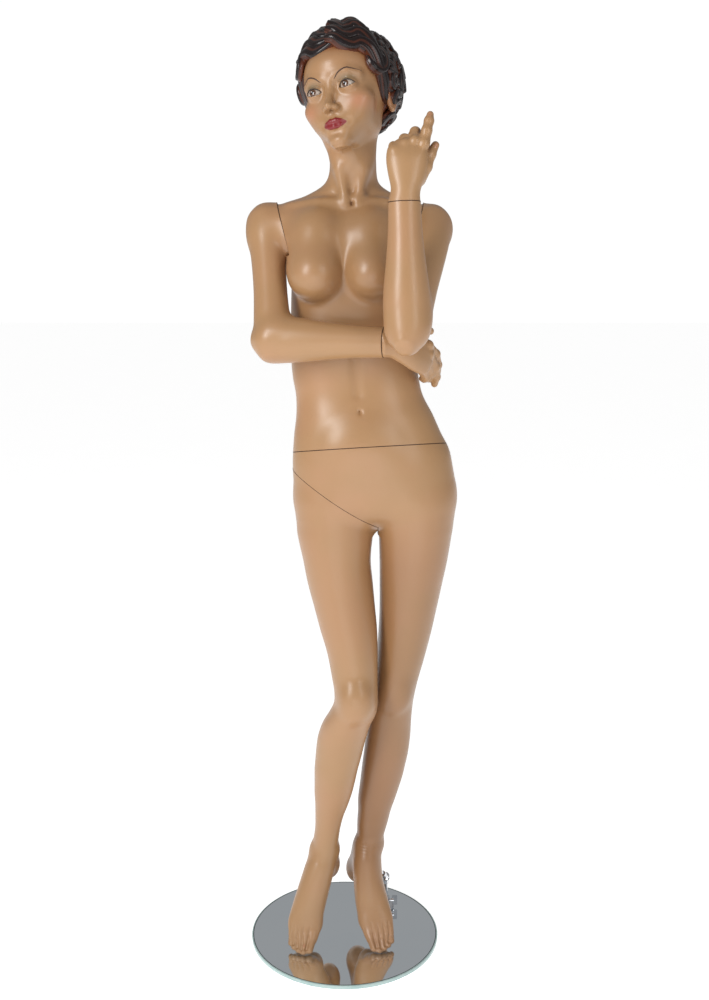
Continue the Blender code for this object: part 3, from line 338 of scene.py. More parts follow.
def bones(points, soft=0.002):
    """Round bones one after another: each point is x, y, z and a radius."""
    points = np.array(points, float)

    def distance(x, y, z):
        best = None
        for a, b in zip(points, points[1:]):
            step = b[:3] - a[:3]
            dx, dy, dz = x - a[0], y - a[1], z - a[2]
            t = np.clip((dx * step[0] + dy * step[1] + dz * step[2]) / float(step @ step), 0, 1)
            here = np.sqrt((dx - t * step[0]) ** 2 + (dy - t * step[1]) ** 2 + (dz - t * step[2]) ** 2)
            here = here - (a[3] + t * (b[3] - a[3]))
            best = here if best is None else soft_min(best, here, soft)
        return best

    reach = points[:, 3].max()
    return distance, points[:, :3].min(0) - reach, points[:, :3].max(0) + reach


def egg(centre, radii):
    """An egg-shaped volume."""
    centre, radii = np.array(centre, float), np.array(radii, float)

    def distance(x, y, z):
        q = [(value - centre[i]) / radii[i] for i, value in enumerate((x, y, z))]
        reach = np.sqrt(q[0] ** 2 + q[1] ** 2 + q[2] ** 2) + 1e-6
        slope = np.sqrt(sum((q[i] / radii[i]) ** 2 for i in range(3))) + 1e-4
        return (reach - 1) * reach / slope

    return distance, centre - radii, centre + radii


def half(point, normal):
    """Everything behind a plane."""
    point, normal = np.array(point, float), unit(normal)

    def distance(x, y, z):
        return (x - point[0]) * normal[0] + (y - point[1]) * normal[1] + (z - point[2]) * normal[2]

    return distance


class Clay:
    """A block of space on a grid of distances, shaped by adding and carving soft volumes."""

    def __init__(self, low, high, cell):
        self.cell = cell
        self.low = np.array(low, float)
        counts = np.ceil((np.array(high, float) - self.low) / cell).astype(int) + 1
        self.axes = [(self.low[i] + cell * np.arange(counts[i])).astype(np.float32) for i in range(3)]
        self.values = np.full(counts, 0.05, np.float32)

    def window(self, shape, margin):
        cuts = []
        for i in range(3):
            first = int(np.searchsorted(self.axes[i], shape[1][i] - margin))
            last = int(np.searchsorted(self.axes[i], shape[2][i] + margin))
            cuts.append(slice(first, last))
        return tuple(cuts)

    def grid(self, cuts):
        x, y, z = (self.axes[i][cuts[i]] for i in range(3))
        return x[:, None, None], y[None, :, None], z[None, None, :]

    def add(self, shape, soft=0.0):
        cuts = self.window(shape, soft + 0.012)
        if self.values[cuts].size:
            self.values[cuts] = soft_min(self.values[cuts], shape[0](*self.grid(cuts)), soft)

    def carve(self, shape, soft=0.0):
        cuts = self.window(shape, soft + 0.004)
        if self.values[cuts].size:
            self.values[cuts] = -soft_min(-self.values[cuts], shape[0](*self.grid(cuts)), soft)

    def trim(self, plane):
        """Keep what lies behind a plane."""
        everything = (slice(None),) * 3
        self.values = np.maximum(self.values, plane(*self.grid(everything))).astype(np.float32)

    def smooth(self, times=1):
        """Soften creases sharper than a few cells."""
        for _ in range(times):
            for axis in range(3):
                v = np.moveaxis(self.values, axis, 0)
                v[1:-1] = 0.25 * v[:-2] + 0.5 * v[1:-1] + 0.25 * v[2:]

    def sample(self, points):
        """Distances at points, between the grid's own."""
        place = (points - self.low) / self.cell
        limit = np.array(self.values.shape) - 2
        base = np.clip(np.floor(place).astype(int), 0, limit)
        part = np.clip(place - base, 0, 1)
        total = 0.0
        for corner in np.ndindex(2, 2, 2):
            weight = np.prod(np.where(corner, part, 1 - part), axis=1)
            total = total + weight * self.values[tuple((base + corner).T)]
        return total

    def slope(self, points):
        step = self.cell
        return np.stack([self.sample(points + step * offset) - self.sample(points - step * offset)
                         for offset in np.eye(3)], 1) / (2 * step)

    def settle(self, points, times=2):
        """Move points onto the surface."""
        for _ in range(times):
            value, slope = self.sample(points), self.slope(points)
            size = (slope * slope).sum(1) + 1e-6
            shift = np.clip(value / np.sqrt(size), -self.cell, self.cell)
            points = points - slope / np.sqrt(size)[:, None] * shift[:, None]
        return points

    def skin(self):
        """Points and four-sided faces of a smooth, closed skin over the clay."""
        values = self.values
        for axis in range(3):
            ends = [slice(None)] * 3
            ends[axis] = [0, -1]
            values[tuple(ends)] = np.maximum(values[tuple(ends)], self.cell * 0.5)
        inside = values < 0
        corners = list(np.ndindex(2, 2, 2))
        shape = [n - 1 for n in values.shape]
        total = np.zeros(shape, np.uint8)
        for i, j, k in corners:
            total += inside[i:i + shape[0], j:j + shape[1], k:k + shape[2]]
        active = (total > 0) & (total < 8)
        cells = np.argwhere(active)
        number = np.full(shape, -1, np.int32)
        number[active] = np.arange(len(cells))
        at = {c: values[tuple((cells + c).T)] for c in corners}
        place, hits = np.zeros((len(cells), 3)), np.zeros(len(cells))
        for a in corners:
            for axis in range(3):
                if a[axis]:
                    continue
                b = tuple(a[i] + (i == axis) for i in range(3))
                crossing = (at[a] < 0) != (at[b] < 0)
                t = np.where(crossing, at[a] / np.where(crossing, at[a] - at[b], 1), 0)
                spot = np.array(a, float) + t[:, None] * (np.array(b) - np.array(a))
                place += np.where(crossing[:, None], spot, 0)
                hits += crossing
        points = self.low + self.cell * (cells + place / hits[:, None])
        faces = []
        for axis in range(3):
            one, two = (axis + 1) % 3, (axis + 2) % 3
            first = np.take(inside, range(shape[axis]), axis)
            second = np.take(inside, range(1, shape[axis] + 1), axis)
            spots = np.argwhere(first != second)
            keep = ((spots[:, one] > 0) & (spots[:, two] > 0)
                    & (spots[:, one] < shape[one]) & (spots[:, two] < shape[two]))
            spots = spots[keep]
            outward = first[tuple(spots.T)]
            ring = []
            for d_one, d_two in ((-1, -1), (0, -1), (0, 0), (-1, 0)):
                cell = spots.copy()
                cell[:, one] += d_one
                cell[:, two] += d_two
                ring.append(number[tuple(cell.T)])
            ring = np.stack(ring, 1)
            ring[~outward] = ring[~outward][:, ::-1]
            faces.append(ring)
        return self.settle(points), np.concatenate(faces)


# ---------------------------------------------------------------- meshes and pieces

def new_object(name, data):
    item = bpy.data.objects.new(name, data)
    bpy.context.scene.collection.objects.link(item)
    return item


def to_mesh(points, faces):
    mesh = bpy.data.meshes.new("work")
    mesh.vertices.add(len(points))
    mesh.vertices.foreach_set("co", np.asarray(points, np.float32).ravel())
    mesh.loops.add(faces.size)
    mesh.loops.foreach_set("vertex_index", faces.astype(np.int32).ravel())
    mesh.polygons.add(len(faces))
    mesh.polygons.foreach_set("loop_start", np.arange(0, faces.size, faces.shape[1], dtype=np.int32))
    mesh.update(calc_edges=True)
    mesh.validate()
    return mesh


def points_of(mesh):
    co = np.empty(len(mesh.vertices) * 3, np.float32)
    mesh.vertices.foreach_get("co", co)
    return co.reshape(-1, 3).astype(float)


def normals_of(mesh):
    no = np.empty(len(mesh.vertices) * 3, np.float32)
    mesh.vertex_normals.foreach_get("vector", no)
    return no.reshape(-1, 3).astype(float)


def combine(mesh, operation, *cutters):
    """The union, difference or intersection of closed meshes."""
    body = new_object("work", mesh)
    helpers = [new_object("helper", cutter) for cutter in cutters]
    for helper in helpers:
        modifier = body.modifiers.new("combine", "BOOLEAN")
        modifier.operation, modifier.solver, modifier.object = operation, "MANIFOLD", helper
    result = bpy.data.meshes.new_from_object(body.evaluated_get(bpy.context.evaluated_depsgraph_get()))
    if len(result.vertices) in (0, len(mesh.vertices)):
        for modifier in body.modifiers:
            modifier.solver = "EXACT"
        result = bpy.data.meshes.new_from_object(body.evaluated_get(bpy.context.evaluated_depsgraph_get()))
    for item in (body, *helpers):
        bpy.data.objects.remove(item)
    return result


def cut(mesh, *cutters):
    return combine(mesh, "DIFFERENCE", *cutters)


def from_bmesh(work):
    mesh = bpy.data.meshes.new("work")
    work.to_mesh(mesh)
    work.free()
    return mesh


def facing(point, direction):
    """The matrix that takes +Z to a direction at a point."""
    return Matrix.Translation(point) @ Vector(direction).to_track_quat("Z", "Y").to_matrix().to_4x4()


def box(size, matrix):
    work = bmesh.new()
    bmesh.ops.create_cube(work, size=1.0)
    work.transform(matrix @ Matrix.Diagonal((*size, 1.0)))
    return from_bmesh(work)


def rod(start, direction, radius, length, sides=32):
    work = bmesh.new()
    bmesh.ops.create_cone(work, cap_ends=True, segments=sides, radius1=radius, radius2=radius, depth=length)
    work.transform(facing(start, direction) @ Matrix.Translation((0, 0, length / 2)))
    return from_bmesh(work)


def half_box(point, normal, size=2.0):
    return box((size, size, size), facing(point, normal) @ Matrix.Translation((0, 0, size / 2)))


def store_values(mesh, name, values):
    layer = mesh.attributes.new(name, "FLOAT", "POINT")
    layer.data.foreach_set("value", np.asarray(values, np.float32))


def drop_specks(mesh, fewest=300):
    """Remove loose bits with few points, which soft volumes can leave beside a surface."""
    work = bmesh.new()
    work.from_mesh(mesh)
    seen, loose = set(), []
    for first in work.verts:
        if first in seen:
            continue
        island, edge = [first], [first]
        seen.add(first)
        while edge:
            for link in edge.pop().link_edges:
                for v in link.verts:
                    if v not in seen:
                        seen.add(v)
                        island.append(v)
                        edge.append(v)
        if len(island) < fewest:
            loose += island
    if loose:
        bmesh.ops.delete(work, geom=loose, context="VERTS")
        work.to_mesh(mesh)
    work.free()


def crease_values(clay, points, normals, reaches=(0.004, 0.009, 0.018)):
    """How hollow the surface is at each point: 0 on open skin, 1 deep in a crease; it sets the painted shade
    in creases.
    """
    out = np.zeros(len(points))
    for reach, weight in zip(reaches, (0.35, 0.35, 0.30)):
        free = clay.sample(points + normals * reach)
        out += weight * np.clip(1.0 - free / reach, 0, 1)
    return out


def add_piece(name, mesh, look, body, stands_for=(), sharp=40.0):
    """A finished piece that rides on a body."""
    mesh.name = name
    mesh.shade_smooth()
    if sharp:
        mesh.set_sharp_from_angle(angle=math.radians(sharp))
    mesh.materials.clear()
    mesh.materials.append(look)
    item = new_object(name, mesh)
    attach(item, body)
    if stands_for:
        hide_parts(*stands_for)
    return item


def seam_lines(name, mesh, point, normal, body, look, radius=0.00034, near=0.0012):
    """A fine dark line along the edge that a seam plane cut in a piece."""
    point, normal = Vector(point), Vector(normal).normalized()
    work = bmesh.new()
    work.from_mesh(mesh)
    flat = {f for f in work.faces if abs((f.calc_center_median() - point).dot(normal)) < near
            and abs(f.normal.dot(normal)) > 0.98}
    edges = [e for e in work.edges if len(e.link_faces) == 2
             and (e.link_faces[0] in flat) != (e.link_faces[1] in flat)]
    links = {}
    for e in edges:
        for v in e.verts:
            links.setdefault(v, []).append(e)
    loops, seen = [], set()
    for e in edges:
        if e in seen:
            continue
        chain, here, edge = [e.verts[0]], e.verts[0], e
        while edge and edge not in seen:
            seen.add(edge)
            here = edge.other_vert(here)
            chain.append(here)
            edge = next((n for n in links[here] if n not in seen), None)
        if len(chain) > 12:
            loops.append([v.co.copy() for v in chain])
    loops.sort(key=lambda loop: -sum((b - a).length for a, b in zip(loop, loop[1:])))
    work.free()
    if not loops:
        return
    curve = bpy.data.curves.new(name, "CURVE")
    curve.dimensions = "3D"
    curve.bevel_depth = radius
    curve.bevel_resolution = 1
    loop = loops[0]
    middle = Vector(points_of(mesh).mean(0))
    inward = normal * math.copysign(0.00030, (middle - point).dot(normal))
    spline = curve.splines.new("POLY")
    spline.points.add(len(loop) - 1)
    for spot, co in zip(spline.points, loop):
        spot.co = (*(co + inward), 1.0)
    curve.materials.append(look)
    item = new_object(name, curve)
    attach(item, body)


# ---------------------------------------------------------------- materials

class Shader:
    """A node material, with short calls for the sums that its colours need."""

    def __init__(self, name):
        self.item = bpy.data.materials.new(name)
        self.item.use_nodes = True
        self.tree = self.item.node_tree
        self.base = self.tree.nodes["Principled BSDF"]

    def node(self, kind, **settings):
        node = self.tree.nodes.new("ShaderNode" + kind)
        for key, value in settings.items():
            setattr(node, key, value)
        return node

    def link(self, value, socket):
        if isinstance(value, bpy.types.NodeSocket):
            self.tree.links.new(value, socket)
        elif isinstance(value, tuple) and len(value) == 3 and socket.type == "RGBA":
            socket.default_value = (*value, 1.0)
        else:
            socket.default_value = value

    def place(self):
        return self.node("TexCoord").outputs["Object"]

    def noise(self, scale, detail=4.0, rough=0.5, where=None):
        node = self.node("TexNoise")
        self.link(where or self.place(), node.inputs["Vector"])
        node.inputs["Scale"].default_value = scale
        node.inputs["Detail"].default_value = detail
        node.inputs["Roughness"].default_value = rough
        return node.outputs["Fac"]

    def stretch(self, scale):
        node = self.node("Mapping")
        self.link(self.place(), node.inputs["Vector"])
        node.inputs["Scale"].default_value = scale
        return node.outputs["Vector"]

    def math(self, operation, a, b):
        node = self.node("Math", operation=operation)
        for value, socket in zip((a, b), node.inputs):
            self.link(value, socket)
        return node.outputs[0]

    def range(self, value, low, high, to_low=0.0, to_high=1.0):
        """value mapped smoothly from low..high to to_low..to_high."""
        node = self.node("MapRange", interpolation_type="SMOOTHSTEP")
        for item, socket in zip((value, low, high, to_low, to_high), node.inputs):
            self.link(item, socket)
        return node.outputs[0]

    def value(self, name):
        return self.node("Attribute", attribute_name=name).outputs["Fac"]

    def mix(self, amount, a, b):
        node = self.node("Mix", data_type="RGBA")
        self.link(amount, node.inputs[0])
        self.link(a, node.inputs[6])
        self.link(b, node.inputs[7])
        return node.outputs[2]

    def bump(self, height, strength, distance=0.001):
        node = self.node("Bump")
        node.inputs["Strength"].default_value = strength
        node.inputs["Distance"].default_value = distance
        self.link(height, node.inputs["Height"])
        self.tree.links.new(node.outputs[0], self.base.inputs["Normal"])

    def set(self, **values):
        for key, value in values.items():
            self.link(value, self.base.inputs[key.replace("_", " ")])


SKIN_TONE = (0.412, 0.232, 0.106)
SKIN_WARM = (0.436, 0.234, 0.114)
SKIN_SHADE = (0.200, 0.085, 0.030)
SKIN_SPECK = (0.42, 0.22, 0.10)
BLUSH_PINK = (0.62, 0.20, 0.13)
LID_GREEN = (0.115, 0.105, 0.055)
HAIRLINE_BROWN = (0.340, 0.110, 0.035)
LIP_RED = (0.225, 0.009, 0.012)
LIP_BLUR = 0.00055              # how far the lip paint fades out


def skin_material(name, head=False):
    """Satin tan paint, warmer in patches, with painted shade in the creases and in darker bands, and a fine
    spray texture.
    """
    s = Shader(name)
    colour = s.mix(s.range(s.noise(7.0, 3.0), 0.35, 0.70), SKIN_TONE, SKIN_WARM)
    colour = s.mix(s.math("MULTIPLY", s.range(s.noise(900.0, 2.0), 0.55, 0.80), 0.10), colour, SKIN_SPECK)
    # Painted shade: brown in the creases and hollows, by how hollow the surface is there.
    fold_shade = s.math("MULTIPLY", s.range(s.value("fold_shade"), 0.32, 0.95), 0.75)
    colour = s.mix(fold_shade, colour, SKIN_SHADE)
    # Painted shade: these values darken the skin towards SKIN_SHADE by place.
    colour = s.mix(s.value("painted_brown_shade"), colour, SKIN_SHADE)
    if head:
        colour = s.mix(s.value("tint_blush"), colour, BLUSH_PINK)
        colour = s.mix(s.value("tint_lid"), colour, LID_GREEN)
        colour = s.mix(s.value("tint_hairline"), colour, HAIRLINE_BROWN)
        lips = s.node("MapRange")
        for item, socket in zip((s.value("lip_distance"), 0.0, LIP_BLUR, 1.0, 0.0), lips.inputs):
            s.link(item, socket)
        colour = s.mix(lips.outputs[0], colour, LIP_RED)
    s.set(Base_Color=colour, Roughness=s.range(s.noise(40.0, 3.0), 0.3, 0.8, 0.36, 0.44))
    s.set(Specular_IOR_Level=0.50, Coat_Weight=0.34, Coat_Roughness=0.29)
    s.bump(s.math("ADD", s.noise(1600.0, 1.0), s.math("MULTIPLY", s.noise(60.0, 2.0), 1.5)), 0.05, 0.0006)
    return s.item


def plain_material(name, colour, darker, roughness, metallic=0.0, scale=80.0, bump=0.06, stretch=None,
                   coat=0.0):
    """A colour with a darker tone in patches, uneven gloss and a fine surface."""
    s = Shader(name)
    where = s.stretch(stretch) if stretch else None
    patch = s.noise(scale, 5.0, 0.6, where)
    gloss = s.noise(scale * 2.3, 3.0, 0.6, where)
    s.set(Base_Color=s.mix(s.range(patch, 0.35, 0.75), colour, darker), Metallic=metallic,
          Roughness=s.range(gloss, 0.2, 0.8, roughness * 0.75, roughness * 1.3),
          Coat_Weight=coat, Coat_Roughness=0.15)
    s.bump(s.noise(scale * 9.0, 3.0, 0.6, where), bump, 0.0005)
    return s.item


SKIN = skin_material("painted_skin")
HEAD_SKIN = skin_material("painted_head", head=True)
SEAM_DARK = plain_material("seam_shadow", (0.080, 0.036, 0.017), (0.050, 0.022, 0.010), 0.7, scale=300.0)
CHROME = plain_material("chrome_plate", (0.78, 0.78, 0.80), (0.66, 0.67, 0.70), 0.09, 1.0, 60.0, 0.03)
BRUSHED = plain_material("turned_steel", (0.56, 0.56, 0.57), (0.40, 0.40, 0.41), 0.26, 1.0, 150.0, 0.10,
                         (1, 1, 12))
PLATE = plain_material("primed_plate", (0.230, 0.190, 0.140), (0.150, 0.120, 0.085), 0.62, 0.0, 30.0, 0.25)
RUBBER = plain_material("black_rubber", (0.022, 0.022, 0.022), (0.040, 0.039, 0.037), 0.75, 0.0, 120.0, 0.30)
NAIL = plain_material("nail_varnish", (0.50, 0.25, 0.135), (0.43, 0.20, 0.10), 0.22,
                      scale=90.0, bump=0.02, coat=0.5)


# ---------------------------------------------------------------- figure: trunk, legs and feet

def neck_cord(side):
    return bones([(TRUNK_X + side * 0.010, -0.028, 1.462, 0.004),
                  (TRUNK_X + side * 0.022, -0.021, 1.520, 0.0085),
                  (0.013 + side * 0.036, 0.012, 1.585, 0.010)])


def collar_bone(side):
    return bones([(TRUNK_X + side * 0.012, -0.027, 1.4625, 0.0040),
                  (TRUNK_X + side * 0.060, -0.020, 1.4635, 0.0042),
                  (TRUNK_X + side * 0.112, 0.004, 1.4560, 0.0040)])


def shoulder_ridge(side):
    """The top of the shoulder between the neck and the arm."""
    x = SHOULDER_CENTRE["right" if side < 0 else "left"][0]
    return bones([(TRUNK_X + side * 0.028, 0.022, 1.486, 0.010),
                  (0.0145 + side * 0.080, 0.028, 1.4555, 0.012),
                  (x - side * 0.006, 0.028, 1.4350, 0.0170)])


def trunk_clay(low, high, cell):
    """The trunk with its bust, back and seat."""
    clay = Clay(low, high, cell)
    clay.add(column(TRUNK))
    for x, lean in ((-0.050, 0.0), (0.052, 0.002)):
        clay.add(egg((x, -0.052, 1.338 + lean), (0.050, 0.056, 0.050)), 0.012)
        clay.add(egg((x * 0.92, -0.026, 1.384 + lean), (0.052, 0.052, 0.070)), 0.030)
    clay.carve(bones([(0.002, -0.118, 1.372, 0.004), (0.0015, -0.100, 1.330, 0.004),
                      (0.002, -0.088, 1.300, 0.004)]), 0.022)
    # Collar bones, the notch between them, and the neck's two cords.
    for side in SIGNS:
        clay.add(collar_bone(side), 0.018)
        clay.add(shoulder_ridge(side), 0.024)
        clay.add(neck_cord(side), 0.016)
    clay.carve(egg((TRUNK_X, -0.034, 1.4600), (0.0022, 0.0050, 0.0030)), 0.006)
    # The hollow of the spine, shoulder blades and seat.
    clay.carve(bones([(0.036, 0.082, 1.040, 0.003), (0.020, 0.094, 1.160, 0.003),
                      (0.016, 0.110, 1.280, 0.003), (0.014, 0.112, 1.380, 0.002)]), 0.034)
    for side in SIGNS:
        clay.add(egg((0.016 + side * 0.062, 0.085, 1.370), (0.036, 0.020, 0.052)), 0.030)
        clay.add(egg((0.059 + side * 0.070, 0.064, 0.905), (0.066, 0.052, 0.060)), 0.030)
        clay.carve(egg((0.050 + side * 0.030, 0.102, 1.005), (0.008, 0.008, 0.010)), 0.016)
    clay.carve(bones([(0.060, 0.128, 0.850, 0.004), (0.059, 0.124, 0.905, 0.004),
                      (0.057, 0.116, 0.950, 0.002)]), 0.022)
    # The navel, the line above it and the lower belly.
    clay.carve(bones([(0.026, -0.072, 1.125, 0.002), (0.018, -0.068, 1.200, 0.003)]), 0.016)
    clay.add(egg((0.036, -0.060, 1.030), (0.060, 0.028, 0.045)), 0.030)
    clay.carve(egg((0.0305, -0.077, 1.0925), (0.0024, 0.0080, 0.0050)), 0.0045)
    clay.carve(bones([(0.0015, -0.094, 1.352, 0.0006), (0.0020, -0.084, 1.318, 0.0006)]), 0.008)
    return clay


def leg_column(clay, rows, knee, ankle):
    """A leg with its kneecap and ankle bones."""
    clay.add(column(rows), 0.022)
    x, y, z = knee
    clay.add(egg((x, y + 0.004, z), (0.020, 0.013, 0.026)), 0.030)
    x, y, z = ankle
    clay.add(egg((x - 0.0195, y, z + 0.002), (0.0080, 0.010, 0.013)), 0.014)
    clay.add(egg((x + 0.0195, y + 0.003, z - 0.002), (0.0080, 0.010, 0.013)), 0.014)


BENT_KNEE, STANDING_KNEE = (0.0235, -0.116, 0.552), (0.0975, -0.054, 0.545)
TOE_GROOVE = (0.0003, 0.0010, 0.0014, 0.0020, 0.0034)
TOE_SIZES = ((0.0098, 0.0092), (0.0074, 0.0076), (0.0070, 0.0072), (0.0066, 0.0068), (0.0062, 0.0066))
FEET = {
    "bent": {"rows": BENT_FOOT, "side": -1, "space": ((-0.128, -0.112, 0.004), (0.006, 0.070, 0.262)),
             "ankle": (-0.0405, 0.002, 0.190),
             "heel": [((-0.034, 0.032, 0.142), (0.0235, 0.024, 0.030)),
                      ((-0.037, 0.020, 0.172), (0.019, 0.022, 0.042))],
             "toes": [[(-0.0610, -0.050, 0.0560), (-0.0640, -0.068, 0.0370), (-0.0700, -0.0870, 0.0215)],
                      [(-0.0740, -0.052, 0.0550), (-0.0775, -0.072, 0.0360), (-0.0815, -0.0900, 0.0195)],
                      [(-0.0845, -0.050, 0.0540), (-0.0885, -0.069, 0.0360), (-0.0915, -0.0855, 0.0205)],
                      [(-0.0940, -0.047, 0.0530), (-0.0980, -0.064, 0.0370), (-0.1000, -0.0790, 0.0225)],
                      [(-0.1025, -0.042, 0.0520), (-0.1062, -0.057, 0.0380), (-0.1065, -0.0710, 0.0260)]]},
    "standing": {"rows": STANDING_FOOT, "side": 1, "space": ((-0.012, -0.108, 0.004), (0.112, 0.094, 0.262)),
                 "ankle": (0.050, 0.030, 0.190),
                 "heel": [((0.027, 0.058, 0.118), (0.0245, 0.026, 0.030)),
                          ((0.036, 0.047, 0.150), (0.022, 0.023, 0.042))],
                 "toes": [[(0.0470, -0.038, 0.0560), (0.0505, -0.058, 0.0370), (0.0590, -0.0800, 0.0215)],
                          [(0.0595, -0.042, 0.0550), (0.0645, -0.063, 0.0360), (0.0700, -0.0830, 0.0195)],
                          [(0.0705, -0.041, 0.0540), (0.0755, -0.061, 0.0360), (0.0795, -0.0780, 0.0205)],
                          [(0.0800, -0.038, 0.0530), (0.0850, -0.056, 0.0370), (0.0875, -0.0715, 0.0225)],
                          [(0.0880, -0.033, 0.0520), (0.0930, -0.049, 0.0380), (0.0940, -0.0635, 0.0260)]]},
}


def foot_clay(which, leg_rows, knee):
    """One foot on tiptoe with its toes, up to the shin."""
    foot = FEET[which]
    clay = Clay(*foot["space"], FOOT_CELL)
    leg_column(clay, leg_rows, knee, foot["ankle"])
    clay.add(bent_limb(foot["rows"], (1, 0, 0)), 0.010)
    for centre, radii in foot["heel"]:
        clay.add(egg(centre, radii), 0.020)
    x, y, z = foot["rows"][5][:3]
    clay.add(egg((x - foot["side"] * 0.017, y + 0.006, z - 0.008), (0.015, 0.015, 0.016)), 0.014)
    clay.add(egg((x + foot["side"] * 0.015, y + 0.010, z - 0.006), (0.013, 0.014, 0.015)), 0.014)
    for toe, (root, tip) in zip(foot["toes"], TOE_SIZES):
        a, b, c = toe
        clay.add(bones([(*a, root), (*b, root * 0.90), (*c, tip * 0.88)], 0.003), 0.0045)
    # A groove on top of each gap between two toes.
    grooves = []
    for one, two in zip(foot["toes"], foot["toes"][1:]):
        middle = [(np.array(p) + np.array(q)) / 2 for p, q in zip(one, two)]
        lift = np.array([0, -0.006, 0.007])
        path = np.array([middle[0] * 0.80 + middle[1] * 0.20, middle[0] * 0.35 + middle[1] * 0.65, middle[1],
                         middle[1] * 0.45 + middle[2] * 0.55, middle[2]]) + lift
        grooves.append(bones([(*p, r) for p, r in zip(clay.settle(path, 8), TOE_GROOVE)]))
    for groove in grooves:
        clay.carve(groove, 0.0028)
    clay.trim(half((0, 0, 0.0118), (0, 0, -1)))
    clay.trim(half((0, 0, SHIN_CUT + 0.007), (0, 0, 1)))
    return clay


def nails(name, clay, tips, farthest, body, lift=0.00035):
    """Painted nails on the skin, from tips: middle, outward direction, finger direction, width and length."""
    work = bmesh.new()
    for middle, outward, along, width, length in tips:
        outward, along = unit(outward), unit(along)
        along = unit(along - outward * float(along @ outward))
        across = np.cross(outward, along)
        spots = []
        n = 8
        for i in range(n + 1):
            for j in range(n + 1):
                u, v = 2 * i / n - 1, 2 * j / n - 1
                u2, v2 = u * math.sqrt(1 - v * v / 2), v * math.sqrt(1 - u * u / 2)
                spots.append(np.array(middle) + across * u2 * width + along * v2 * length + outward * 0.001)
        before = np.array(spots)
        spots = clay.settle(before, 5)
        square = spots.reshape(n + 1, n + 1, 3)
        longest = max(np.linalg.norm(np.diff(square, axis=0), axis=2).max(),
                      np.linalg.norm(np.diff(square, axis=1), axis=2).max())
        if np.linalg.norm(spots - before, axis=1).max() > farthest or longest > 0.9 * width:
            continue            # the tip rests against another finger and hides its nail
        slope = clay.slope(spots)
        slope /= np.linalg.norm(slope, axis=1)[:, None] + 1e-9
        crown = np.array([1 - max(abs(2 * (k // (n + 1)) / n - 1), abs(2 * (k % (n + 1)) / n - 1)) ** 4
                          for k in range(len(spots))])
        spots = spots + slope * (lift * (crown * 1.2 - 0.25))[:, None]
        verts = [work.verts.new(p) for p in spots]
        for i in range(n):
            for j in range(n):
                k = i * (n + 1) + j
                work.faces.new((verts[k], verts[k + 1], verts[k + n + 2], verts[k + n + 1]))
    if work.faces:
        bmesh.ops.recalc_face_normals(work, faces=work.faces)
        add_piece(name, from_bmesh(work), NAIL, body, sharp=0)


def bridge(lower, upper, height):
    """One mesh from two that both end at a level cut, joined across it."""
    work = bmesh.new()
    for mesh, keep_above in ((lower, False), (upper, True)):
        part = bmesh.new()
        part.from_mesh(mesh)
        level = height + (0.0006 if keep_above else -0.0006)
        bmesh.ops.bisect_plane(part, geom=part.verts[:] + part.edges[:] + part.faces[:],
                               plane_co=(0, 0, level), plane_no=(0, 0, 1),
                               clear_outer=not keep_above, clear_inner=keep_above)
        part.to_mesh(mesh)
        part.free()
        work.from_mesh(mesh)
    rims = [e for e in work.edges if e.is_boundary and abs(e.verts[0].co.z - height) < 0.001
            and abs(e.verts[1].co.z - height) < 0.001]
    bmesh.ops.bridge_loops(work, edges=rims)
    bmesh.ops.recalc_face_normals(work, faces=work.faces)
    return from_bmesh(work)


def finish_shell(name, mesh, clays, look, body, stands_for, lines=()):
    """Store the painted shade of a shell's creases and add it, with a dark line along each of its seams."""
    drop_specks(mesh)
    points, normals = points_of(mesh), normals_of(mesh)
    fold_shading = np.zeros(len(points))
    for clay, inside in clays:
        fold_shading = np.where(inside(points), crease_values(clay, points, normals), fold_shading)
    store_values(mesh, "fold_shade", fold_shading)
    if "painted_brown_shade" not in mesh.attributes:
        store_values(mesh, "painted_brown_shade", np.zeros(len(fold_shading)))
    add_piece(name, mesh, look, body, stands_for)
    for i, (point, normal) in enumerate(lines):
        seam_lines("%s_seam_%d" % (name, i + 1), mesh, point, normal, body, SEAM_DARK)


def leg_space(gap):
    """The space of the removable thigh, under the hip seam and beside the standing leg."""
    under = half_box(HIP_POINT - HIP_NORMAL * gap, -HIP_NORMAL)
    beside = box((1, 1, 1), Matrix.Translation((HIP_SPLIT_X - gap - 0.5, 0, 0.852 + 0.5)))
    return combine(under, "INTERSECT", beside)


def rim_cavity(mesh_points_faces, point, normal, low, high):
    """The inside of a shell between two depths under a seam, for cutting its open end."""
    middle = Matrix.Translation((0, 0, (low + high) / 2))
    slab = box((0.8, 0.8, high - low), facing(point, normal) @ middle)
    return combine(to_mesh(*mesh_points_faces), "INTERSECT", slab)


def copy_clay(clay, wall=0.0):
    """The same clay again, or its hollow inside a wall."""
    twin = Clay.__new__(Clay)
    twin.cell, twin.low, twin.axes = clay.cell, clay.low, clay.axes
    twin.values = clay.values + np.float32(wall)
    return twin


def inner(clay, wall):
    return copy_clay(clay, wall).skin()


def everywhere(points):
    return np.ones(len(points), bool)


